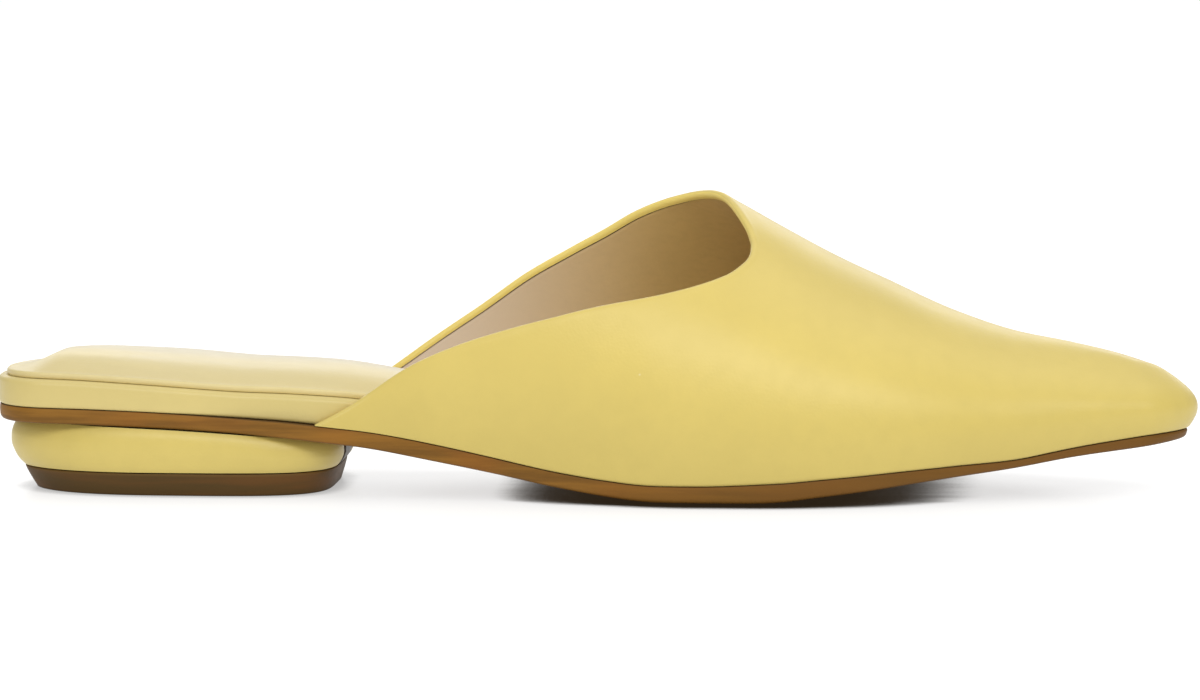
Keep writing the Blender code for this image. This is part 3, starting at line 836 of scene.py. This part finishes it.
def collar_rings(rows, distances):
    """The collar line moved away from the opening by each distance, along the last's surface."""
    spots = [last_point(share, turn) for share, turn in rows]
    rings = [[] for _ in distances]
    by_share = 0.0006
    by_turn = 0.003
    for k, (share, turn) in enumerate(rows):
        before = spots[max(k - 1, 0)]
        after = spots[min(k + 1, len(rows) - 1)]
        tangent = (after - before).normalized()
        far = math.copysign(min(abs(turn), 1 - by_turn), turn)
        along = (last_point(share + by_share, far) - last_point(share - by_share, far)) / (2 * by_share)
        round_it = (last_point(share, far + by_turn) - last_point(share, far - by_turn)) / (2 * by_turn)
        away = tangent.cross(along.cross(round_it)).normalized()
        e, f, g = along.dot(along), along.dot(round_it), round_it.dot(round_it)
        a, b = away.dot(along), away.dot(round_it)
        per_share = (a * g - b * f) / (e * g - f * f)
        per_turn = (b * e - a * f) / (e * g - f * f)
        room = 1.0
        if per_turn * turn > 0:
            room = 0.9 * (1 - abs(turn)) / abs(per_turn)
        for ring, distance in zip(rings, distances):
            step = distance / (1 + distance / room)
            ring.append((share + per_share * step, turn + per_turn * step))
    return rings


def upper_skin(distances):
    """Grid of the upper's outer face: pairs of share and turn with their ring, and the faces."""
    outer_line = collar_curve(COLLAR[: THROAT_ROW + 1], COLLAR_STEPS_OUTER + 1)
    inner_line = collar_curve(COLLAR[THROAT_ROW:], COLLAR_STEPS_INNER + 1)
    rings = collar_rings(outer_line + inner_line[1:], distances)
    total = len(rings[0])
    steps = [t for t, _ in FOOT_RINGS]
    steps += [steps[-1] + (1 - steps[-1]) * k / WALL_STEPS for k in range(1, WALL_STEPS + 1)]
    pairs = []
    faces = []

    def add(pair, ring, foot):
        pairs.append((pair, ring, foot))
        return len(pairs) - 1

    def column(k, side, foot_share, shared=None):
        top = rings[-1][k]
        ids = []
        for j, t in enumerate(steps[:-1]):
            pair = (foot_share + (top[0] - foot_share) * t, side + (top[1] - side) * t)
            ids.append(add(pair, None, j))
        if shared is not None:
            return ids + shared[len(ids):]
        for r in reversed(range(len(rings))):
            ids.append(add(rings[r][k], r, None))
        return ids

    throat = COLLAR_STEPS_OUTER
    outer = []
    for k in range(throat + 1):
        tip = rings[-1][0][0]
        outer.append(column(k, -1, tip + (FRONT_FEATHER_SHARE - tip) * k / throat))
    inner = []
    span = total - 1 - throat
    for k in range(total - 1, throat, -1):
        tip = rings[-1][-1][0]
        inner.append(column(k, 1, tip + (FRONT_FEATHER_SHARE - tip) * (total - 1 - k) / span))
    inner.append(column(throat, 1, FRONT_FEATHER_SHARE, outer[-1]))
    for rows, turned in ((outer, False), (inner, True)):
        for near, far in zip(rows, rows[1:]):
            quads = strip(far, near, closed=False) if turned else strip(near, far, closed=False)
            faces += [quad for quad in quads if len(set(quad)) == 4]
    crest = len(steps) - 1
    front = outer[-1][: crest + 1] + inner[-1][:crest][::-1]
    apex = rings[-1][throat]
    rows = [front]
    for i in range(1, VAMP_STEPS + 1):
        t = math.sin(math.pi / 2 * i / VAMP_STEPS)
        foot = FRONT_FEATHER_SHARE + (1 - FRONT_FEATHER_SHARE) * t
        top = apex[0] + (1 - apex[0]) * t
        turn = apex[1] * (1 - ramp(0.0, 1.0, t))
        row = []
        for j, s in enumerate(steps):
            row.append(add((foot + (top - foot) * s, -1 + (turn + 1) * s), None, j))
        if i < VAMP_STEPS:
            for j, s in reversed(list(enumerate(steps[:-1]))):
                row.append(add((foot + (top - foot) * s, 1 + (turn - 1) * s), None, j))
        else:
            row += row[:-1][::-1]
        rows.append(row)
    for near, far in zip(rows, rows[1:]):
        faces += strip(near, far, closed=False)
    return pairs, faces


def face_normals(points, faces):
    """Smooth outward direction at each point."""
    places = np.array([tuple(p) for p in points])
    quads = np.array(faces)
    a, b, c, d = (places[quads[:, k]] for k in range(4))
    cross = np.cross(c - a, d - b)
    out = np.zeros_like(places)
    for k in range(4):
        np.add.at(out, quads[:, k], cross)
    norms = np.linalg.norm(out, axis=1)
    out /= np.maximum(norms, 1e-12)[:, None]
    return out


class MULE_OT_upper(bpy.types.Operator):
    """Build the upper: outer leather turned in over the collar, with its lining"""
    bl_idname = "mule.upper"
    bl_label = "Upper"

    def execute(self, context):
        sizes = context.scene.mule_sizes
        colours = context.scene.mule_colours
        wall = UPPER_WALL
        band = sizes.fold_band
        step = sizes.lining_step
        rings = [(d * wall, o * wall, i * wall) for d, o, i in RIM_RINGS]
        rings += [(0.75 * band, 0.0, wall), (band, 0.0, wall)]
        rings += [(band + past, 0.0, wall - step * down) for past, down in SEAM_RINGS]
        seam_ring = len(RIM_RINGS) + 2
        pairs, faces = upper_skin([ring[0] for ring in rings])
        points = [last_point(share, turn) for (share, turn), _, _ in pairs]
        normals = face_normals(points, faces)
        if sum(normals[k][2] for k, (pair, _, _) in enumerate(pairs) if abs(pair[1]) < RIDGE_TURN) < 0:
            normals = -normals
        outer = []
        lining = []
        edge = []
        for k, ((share, turn), ring, foot) in enumerate(pairs):
            normal = Vector(normals[k])
            point = points[k]
            flat = Vector((normal.x, normal.y, 0.0)).normalized()
            calm = 1.0 if ring is None else ramp(0.0, 1.0, ring / len(rings))
            relief = sizes.relief * leather_relief(share, turn) * calm
            relief *= ramp(0.0, CALM_RINGS, foot) if foot is not None else 1.0
            out_depth = rings[ring][1] if ring is not None else 0.0
            in_depth = rings[ring][2] if ring is not None else wall - step
            if foot is not None and foot < len(FOOT_RINGS):
                outer.append(point - flat * FOOT_RINGS[foot][1] * wall)
                lining.append(point - (flat if foot == 0 else normal) * in_depth)
            else:
                outer.append(point + normal * (relief - out_depth))
                lining.append(point + normal * (relief * 0.5 - in_depth))
            # The lowest rings of the foot carry the edge mark that is darkened as painted shade.
            edge.append(1.0 if foot is not None and foot < SHADED_FOOT_RINGS else 0.0)
        count = len(points)
        inner_number = {}
        all_points = list(outer)
        marks = {"edge": list(edge), "seam": [0.0] * count}
        for k, (_, ring, _) in enumerate(pairs):
            if ring == 0:
                inner_number[k] = k
                continue
            inner_number[k] = len(all_points)
            all_points.append(lining[k])
            marks["edge"].append(0.0)
            marks["seam"].append(1.0 if ring in (seam_ring, seam_ring + 1) else 0.0)
        all_faces = list(faces)
        slots = [0] * len(faces)
        for face in faces:
            all_faces.append(tuple(inner_number[v] for v in reversed(face)))
            depth = min(len(rings) if pairs[v][1] is None else pairs[v][1] for v in face)
            slots.append(2 if depth < seam_ring - 1 else 1)
        sides = {}
        for face in faces:
            for a, b in zip(face, face[1:] + face[:1]):
                sides[frozenset((a, b))] = sides.get(frozenset((a, b)), 0) + 1
        for face in faces:
            for a, b in zip(face, face[1:] + face[:1]):
                rim = inner_number[a] == a and inner_number[b] == b
                if sides[frozenset((a, b))] == 1 and not rim:
                    quad = (a, b, inner_number[b], inner_number[a])
                    all_faces.append(tuple(dict.fromkeys(quad)))
                    slots.append(0)
        # Painted shade on the upper: darker towards the bottom and along its foot against the sole.
        skin = leather("upper_leather", colours.leather, sizes.grain, 0.35, low=0.86)
        inside = lining_leather("upper_lining", colours.lining, tuple(colours.lining_rear_tone_and_light))
        # Painted light: the turned-in band is the upper's leather made lighter, standing in for the light
        # that passes over the collar.
        fold = leather("fold_leather_painted_light", shade(colours.leather, 1.22), sizes.grain)
        obj = make_piece("upper_shell", all_points, all_faces, [skin, inside, fold], slots, marks)
        mount(obj, "upper")
        return {"FINISHED"}


# The layers under the foot

class MULE_OT_footbed(bpy.types.Operator):
    """Build the wrapped footbed, whose side is the rand behind the upper"""
    bl_idname = "mule.footbed"
    bl_label = "Footbed"

    def execute(self, context):
        sizes = context.scene.mule_sizes
        colours = context.scene.mule_colours
        radius = RAND_EDGE_RADIUS

        def margin(extra):
            return lambda share: lasted_margin(share) + extra

        def above(extra):
            return lambda x: footbed_base(x) + extra

        def below(extra):
            return lambda x: footbed_top(x) - extra

        levels = [(margin(radius * 0.75), above(0.0))]
        for k in range(6):
            turn = math.pi / 2 * k / 5
            levels.append((margin(radius * 0.5 * (1 - math.sin(turn))),
                           above(radius * 0.7 * (1 - math.cos(turn)))))
        for k in range(1, 5):
            t = k / 5
            swell = -0.10 * MM * math.sin(math.pi * t)
            levels.append((margin(swell), (lambda x, t=t: footbed_base(x) + radius * 0.7
                                           + (footbed_top(x) - footbed_base(x) - radius * 1.7) * t)))
        for k in range(8):
            turn = math.pi / 2 * k / 7
            levels.append((margin(radius * (1 - math.cos(turn))),
                           below(radius * (1 - math.sin(turn)))))
        points, faces, _ = layer_mesh(levels)
        between = [(a + b) * 0.45 for a, b in zip(colours.leather, colours.sock)]
        skin = leather("rand_leather", between, sizes.grain)
        obj = make_piece("wrapped_footbed", points, faces, [skin])
        mount(obj, "footbed")
        return {"FINISHED"}


class MULE_OT_sock(bpy.types.Operator):
    """Build the padded sock that lies on the footbed"""
    bl_idname = "mule.sock"
    bl_label = "Sock"

    def execute(self, context):
        sizes = context.scene.mule_sizes
        colours = context.scene.mule_colours
        edge = SOCK_EDGE

        def margin(extra):
            return lambda share: lasted_margin(share) + SOCK_MARGIN + extra

        def height(extra):
            return lambda x: sock_base(x) + extra

        def crown(outer, inner, t):
            across = 1 - abs(2 * t - 1) ** SOCK_SQUARENESS
            fullness = ramp(0.0, SOCK_FULL_WIDTH, (inner - outer).length)
            fullness *= ramp(SOCK_REAR_START, SOCK_REAR_RUN, outer.x - X_BACK)
            spot = outer.lerp(inner, t)
            calm = ramp(0.0, 0.12, t) * ramp(0.0, 0.12, 1 - t)
            waves = noise.noise(Vector((spot.x * 16.0, spot.y * 95.0, 2.0)))
            waves += 0.5 * noise.noise(Vector((spot.x * 45.0, spot.y * 120.0, 8.0)))
            return SOCK_CROWN * across * fullness + sizes.sock_waves * waves * calm

        levels = [(margin(edge * 0.1), height(-0.22 * MM)), (margin(0.0), height(-0.08 * MM))]
        for k in range(9):
            turn = math.pi / 2 * k / 8
            levels.append((margin(edge * 0.5 * (1 - math.cos(turn))),
                           height(edge * 0.5 + edge * 0.5 * math.sin(turn))))
        points, faces, _ = layer_mesh(levels, crown)
        # The sock's far colour is a painted reflection towards the inner side.
        skin = leather("sock_leather", colours.sock, sizes.grain, far=tuple(colours.sock_far_reflection))
        obj = make_piece("padded_sock", points, faces, [skin])
        mount(obj, "sock")
        return {"FINISHED"}


class MULE_OT_outsole(bpy.types.Operator):
    """Build the outsole with its burnished edge"""
    bl_idname = "mule.outsole"
    bl_label = "Outsole"

    def execute(self, context):
        colours = context.scene.mule_colours
        radius = OUTSOLE_EDGE_RADIUS
        close = 0.6 * CLEARANCE

        def margin(extra):
            return lambda share: OUTSOLE_MARGIN + extra

        def band_margin(t):
            def at(share):
                fullness = ramp(*TREAD_RISE, share) * (1 - ramp(*TREAD_FADE, share))
                wide = 2 * radius + fullness * (OUTSOLE_EDGE_BAND - 2 * radius)
                return OUTSOLE_MARGIN + radius + (wide - radius) * (1 - t)
            return at

        def lifted(share_up, extra=0.0):
            return lambda x: underside(x) + edge_lift(x) * share_up + extra

        levels = []
        for k in range(7):
            t = k / 6
            levels.append((band_margin(t), lifted(ramp(0.0, 1.0, t)), 0.0))
        for k in range(1, 6):
            turn = math.pi / 2 * k / 5
            levels.append((margin(radius * (1 - math.sin(turn))),
                           lifted(1.0, radius * (1 - math.cos(turn))), 0.04 * k))
        for k in range(1, 9):
            t = k / 8
            swell = -0.12 * MM * math.sin(math.pi * t)
            levels.append((margin(swell), (lambda x, t=t: (underside(x) + edge_lift(x) + radius) * (1 - t)
                                           + outsole_top(x) * t), 0.2 + 0.7 * t))
        levels.append((margin(radius * 0.05), lambda x: outsole_top(x) + close * 0.7, 0.96))
        levels.append((margin(radius * 0.2), lambda x: outsole_top(x) + close, 1.0))
        points, faces, marks = layer_mesh(levels)
        edge = sole_leather("sole_leather", colours.sole, colours.dark)
        obj = make_piece("leather_outsole", points, faces, [edge], None, {"level": marks})
        mount(obj, "outsole")
        return {"FINISHED"}


# The heel

# How far the wrapped edges roll back beside the breast cover, and over which angle or share
BLOCK_EDGE_ROLL = 0.5 * MM
BLOCK_ROLL_TURN = 0.05
BREAST_EDGE_ROLL = 0.35 * MM
BREAST_ROLL_SHARE = 0.12
# Depth of the block's soft unevenness, and how much darker the block's copy of the upper's leather is
# painted, as painted shade under the sole
BLOCK_SOFTNESS = 0.18 * MM
HEEL_PAINTED_SHADE = 0.91
# Bevel of the lift's top, height that its side leaves to both edges, and the curve of its taper
LIFT_TOP_BEVEL = 0.15 * MM
LIFT_EDGE_ROOM = 0.7 * MM
LIFT_TAPER_POWER = 1.15


def oval_point(turn, margin, inset=0.0):
    """Point on the heel's oval; turn is an angle from its front, the margin counts less off the rear."""
    c = math.cos(turn)
    s = math.sin(turn)
    power = 2 / (HEEL_FRONT_SQUARENESS if c > 0 else HEEL_SQUARENESS)
    share = HEEL_FRONT_SHARE if c > 0 else 1.0
    along = (HEEL_LENGTH / 2 - margin * share - inset) * math.copysign(abs(c) ** power, c)
    across = (HEEL_WIDTH / 2 - margin * HEEL_FRONT_SHARE - inset) * math.copysign(abs(s) ** power, s)
    slant = max(across / (HEEL_WIDTH / 2) + HEEL_CUT_START, 0.0) / (1 + HEEL_CUT_START)
    along += HEEL_REAR_CUT * slant ** HEEL_CUT_POWER * max(-c, 0.0) ** power
    centre = X_BACK + HEEL_SETBACK + HEEL_LENGTH / 2
    x = centre + along * math.cos(HEEL_SKEW) - across * math.sin(HEEL_SKEW)
    y = along * math.sin(HEEL_SKEW) + across * math.cos(HEEL_SKEW)
    return Vector((x, y, 0.0))


def breast_turn():
    return math.asin((BREAST_WIDTH / HEEL_WIDTH) ** (HEEL_FRONT_SQUARENESS / 2))


def even_turns(start, stop, count):
    """Angles of the oval that lie evenly along its outline between two angles."""
    fine = [start + (stop - start) * k / FINE_TURNS for k in range(FINE_TURNS + 1)]
    spots = [oval_point(t, 0.0) for t in fine]
    lengths = [0.0]
    for a, b in zip(spots, spots[1:]):
        lengths.append(lengths[-1] + (b - a).length)
    goals = [lengths[-1] * k / (count - 1) for k in range(count)]
    return list(np.interp(goals, lengths, fine))


def raised(ring, level):
    """A ring of points at a share of the block's height, which follows the sole's slope."""
    base = LIFT_THICKNESS + CLEARANCE
    for point in ring:
        top = underside(point.x) - CLEARANCE
        point.z = base + level * (top - base)
    return ring


def stacked(rings, levels=None):
    """Closed mesh through rings of points, with a fan at the bottom and the top, and its level marks."""
    levels = levels or [0.0] * len(rings)
    points = []
    marks = []
    numbers = []
    for ring, level in zip(rings, levels):
        numbers.append(list(range(len(points), len(points) + len(ring))))
        points += ring
        marks += [level] * len(ring)
    faces = []
    for lower, upper in zip(numbers, numbers[1:]):
        faces += strip(lower, upper)
    for ring, level in ((numbers[0], levels[0]), (numbers[-1], levels[-1])):
        middle = len(points)
        points.append(sum((points[k] for k in ring), Vector()) / len(ring))
        marks.append(level)
        faces += [(a, ring[(k + 1) % len(ring)], middle) for k, a in enumerate(ring)]
    return points, faces, marks


class MULE_OT_heel(bpy.types.Operator):
    """Build the wrapped heel block, its breast cover and its lift"""
    bl_idname = "mule.heel"
    bl_label = "Heel"

    def execute(self, context):
        sizes = context.scene.mule_sizes
        colours = context.scene.mule_colours
        self.block(sizes, colours)
        self.breast(sizes, colours)
        self.lift(colours)
        return {"FINISHED"}

    def block(self, sizes, colours):
        edge = breast_turn()
        recess = BREAST_THICKNESS + CLEARANCE
        around = even_turns(edge, 2 * math.pi - edge, HEEL_TURNS)
        front = even_turns(-edge, edge, BLOCK_FRONT_TURNS)
        rings = []
        for k in range(BLOCK_RINGS + 1):
            level = 0.5 - 0.5 * math.cos(math.pi * k / BLOCK_RINGS)
            margin = read(PUFF, 1, level) * HEEL_PUFF
            ring = []
            for t in around:
                near = min(t - edge, 2 * math.pi - edge - t)
                roll = BLOCK_EDGE_ROLL * (1 - ramp(0.0, BLOCK_ROLL_TURN, near))
                spot = Vector((math.cos(t) * 2.2, math.sin(t) * 2.2, level * 1.6))
                ring.append(oval_point(t, margin, roll - BLOCK_SOFTNESS * noise.noise(spot)))
            ring += [oval_point(t, margin, recess) for t in front]
            rings.append(raised(ring, level))
        points, faces, _ = stacked(rings)
        # The heel block's leather is the upper's leather darkened as painted shade.
        skin = leather("heel_leather", shade(colours.leather, HEEL_PAINTED_SHADE), sizes.grain)
        obj = make_piece("wrapped_heel", points, faces, [skin])
        mount(obj, "heel_block")

    def breast(self, sizes, colours):
        edge = breast_turn() * (1 - 2 * CLEARANCE / BREAST_WIDTH)
        turns = even_turns(-edge, edge, BREAST_TURNS)
        rings = []
        for k in range(BREAST_RINGS + 1):
            level = k / BREAST_RINGS
            margin = read(PUFF, 1, level) * HEEL_PUFF
            face = []
            for t in turns:
                near = 1 - abs(t) / edge
                roll = BREAST_EDGE_ROLL * (1 - ramp(0.0, BREAST_ROLL_SHARE, near))
                face.append(oval_point(t, margin, roll))
            back = [oval_point(t, margin, BREAST_THICKNESS) for t in reversed(turns)]
            rings.append(raised(face + back, level))
        points, faces, _ = stacked(rings)
        skin = leather("breast_leather", colours.dark, sizes.grain, gloss=0.1)
        obj = make_piece("breast_cover", points, faces, [skin], sharp=40.0)
        mount(obj, "heel_breast")

    def lift(self, colours):
        turns = even_turns(0.0, 2 * math.pi, HEEL_TURNS + 1)[:-1]
        rows = []
        for k in range(5):
            turn = math.pi / 2 * k / 4
            inset = LIFT_EDGE_MARGIN * (1 - math.sin(turn))
            rows.append((LIFT_TOP_MARGIN + LIFT_TAPER + inset, LIFT_EDGE * (1 - math.cos(turn)), 0.02 * k))
        for k in range(1, LIFT_RINGS):
            t = k / LIFT_RINGS
            taper = 1 - t
            rows.append((LIFT_TOP_MARGIN + LIFT_TAPER * taper ** LIFT_TAPER_POWER,
                         LIFT_EDGE + (LIFT_THICKNESS - LIFT_EDGE_ROOM) * t, 0.1 + 0.8 * t))
        rows.append((LIFT_TOP_MARGIN, LIFT_THICKNESS - LIFT_TOP_BEVEL, 0.95))
        rows.append((LIFT_TOP_MARGIN + LIFT_TOP_BEVEL, LIFT_THICKNESS, 1.0))
        rings = []
        for margin, height, _ in rows:
            ring = [oval_point(t, margin) for t in turns]
            for point in ring:
                point.z = height
            rings.append(ring)
        points, faces, marks = stacked(rings, [level for _, _, level in rows])
        warm = (colours.lift[0] * 1.25, colours.lift[1], colours.lift[2] * 0.9)
        body = lift_rubber("lift_satin", colours.lift, warm)
        obj = make_piece("top_lift", points, faces, [body], None, {"level": marks})
        mount(obj, "heel_lift")


# The studio

# Area lights: name, place, the point they face, width and height, and power in watts
LIGHTS = (
    ("overhead", (0.0, 0.15, 1.6), (0.0, 0.0, 0.0), (2.4, 1.6), 12.0),
    ("front", (0.2, -1.15, 0.85), (0.02, 0.0, 0.03), (1.9, 0.45), 11.0),
    ("back", (0.0, 1.9, 0.75), (0.0, 0.0, 0.03), (2.4, 0.7), 9.5),
)
SKY_STRENGTH = 0.39
FLOOR_REACH = 12.0
AIM_HEIGHT = 30.4 * MM
# The floor's painted contact shadow: its weight at the heel, where it reaches full weight, its wide soft
# part
HEEL_CONTACT = 0.35
CONTACT_RUN = (-55 * MM, -15 * MM)
AROUND_REACH = 60 * MM
AROUND_WEIGHT = 0.22


def area_light(name, place, aim, size, power):
    light = bpy.data.lights.new(name, "AREA")
    light.shape = "RECTANGLE"
    light.size = size[0]
    light.size_y = size[1]
    light.energy = power
    obj = bpy.data.objects.new(name, light)
    obj.location = place
    obj.rotation_euler = (Vector(aim) - Vector(place)).to_track_quat("-Z", "Y").to_euler()
    obj.visible_camera = False
    bpy.context.scene.collection.objects.link(obj)


class MULE_OT_stage(bpy.types.Operator):
    """Build the pale floor, the soft lights and the camera"""
    bl_idname = "mule.stage"
    bl_label = "Stage"

    def execute(self, context):
        stage = context.scene.mule_stage
        f = Finish("studio_floor")
        # Painted shadow: the floor's glow and colour darken where the shoe closes in over it, with streaks
        # at its edge, and a faint wide painted shade around the shoe.
        room = f.node("ShaderNodeAmbientOcclusion", {"samples": 8}, {"Distance": stage.contact}, "AO")
        streaks = f.noise(30.0, 3.0, (1.0, 6.0, 1.0), 0.6)
        closed = 1 - (room + (streaks - 0.5) * 0.2).fitted(0.38, 0.90)
        closed = closed * (HEEL_CONTACT + f.along(0).fitted(*CONTACT_RUN) * (1 - HEEL_CONTACT))
        around = f.node("ShaderNodeAmbientOcclusion", {"samples": 3}, {"Distance": AROUND_REACH}, "AO")
        closed = closed + (1 - closed) * (1 - around.fitted(0.1, 1.0)) * AROUND_WEIGHT
        glow = f.mixed(closed, (1.0, 1.0, 1.0), (0.02, 0.014, 0.008))
        base = f.mixed(closed, tuple(stage.floor), (0.02, 0.016, 0.012))
        f.done({"Base Color": base, "Roughness": 0.4, "Specular IOR Level": 0.1,
                "Emission Color": glow, "Emission Strength": stage.glow})
        corners = [(x * FLOOR_REACH, y * FLOOR_REACH, 0) for x, y in ((-1, -1), (1, -1), (1, 1), (-1, 1))]
        mesh = bpy.data.meshes.new("studio_floor")
        mesh.from_pydata(corners, [], [(0, 1, 2, 3)])
        mesh.materials.append(f.material)
        floor = bpy.data.objects.new("studio_floor", mesh)
        context.scene.collection.objects.link(floor)

        world = bpy.data.worlds.new("studio_sky")
        world.use_nodes = True
        sky = world.node_tree.nodes["Background"]
        sky.inputs["Color"].default_value = (1.0, 1.0, 1.0, 1.0)
        sky.inputs["Strength"].default_value = SKY_STRENGTH
        context.scene.world = world
        context.scene.view_settings.view_transform = "Standard"
        for light in LIGHTS:
            area_light(*light)

        target = Vector((0.0, 0.0, AIM_HEIGHT))
        back = Vector((
            math.sin(stage.azimuth) * math.cos(stage.elevation),
            -math.cos(stage.azimuth) * math.cos(stage.elevation),
            math.sin(stage.elevation),
        ))
        camera = bpy.data.cameras.new("photo_camera")
        camera.lens = stage.lens
        camera.sensor_width = 36.0
        camera.clip_start = 0.05
        camera.clip_end = 60.0
        obj = bpy.data.objects.new("photo_camera", camera)
        obj.location = target + back * stage.distance
        obj.rotation_euler = (-back).to_track_quat("-Z", "Y").to_euler()
        context.scene.collection.objects.link(obj)
        context.scene.camera = obj
        return {"FINISHED"}


class MULE_PT_panel(bpy.types.Panel):
    bl_idname = "MULE_PT_panel"
    bl_label = "Leather Mule"
    bl_space_type = "VIEW_3D"
    bl_region_type = "UI"
    bl_category = "Mule"

    def draw(self, context):
        for group in (context.scene.mule_sizes, context.scene.mule_colours, context.scene.mule_stage):
            box = self.layout.box()
            for key in group.__annotations__:
                box.prop(group, key)
        for operator in OPERATORS:
            self.layout.operator(operator.bl_idname)


GROUPS = {"mule_sizes": MuleSizes, "mule_colours": MuleColours, "mule_stage": MuleStage}
OPERATORS = (MULE_OT_outsole, MULE_OT_footbed, MULE_OT_sock, MULE_OT_heel, MULE_OT_upper, MULE_OT_stage)


def register():
    for group in GROUPS.values():
        bpy.utils.register_class(group)
    for key, group in GROUPS.items():
        setattr(bpy.types.Scene, key, bpy.props.PointerProperty(type=group))
    for operator in OPERATORS:
        bpy.utils.register_class(operator)
    bpy.utils.register_class(MULE_PT_panel)


def unregister():
    bpy.utils.unregister_class(MULE_PT_panel)
    for operator in reversed(OPERATORS):
        bpy.utils.unregister_class(operator)
    for key in GROUPS:
        delattr(bpy.types.Scene, key)
    for group in GROUPS.values():
        bpy.utils.unregister_class(group)


def main():
    register()
    bpy.ops.mule.outsole()
    bpy.ops.mule.footbed()
    bpy.ops.mule.sock()
    bpy.ops.mule.heel()
    bpy.ops.mule.upper()
    bpy.ops.mule.stage()


if __name__ == "__main__":
    main()
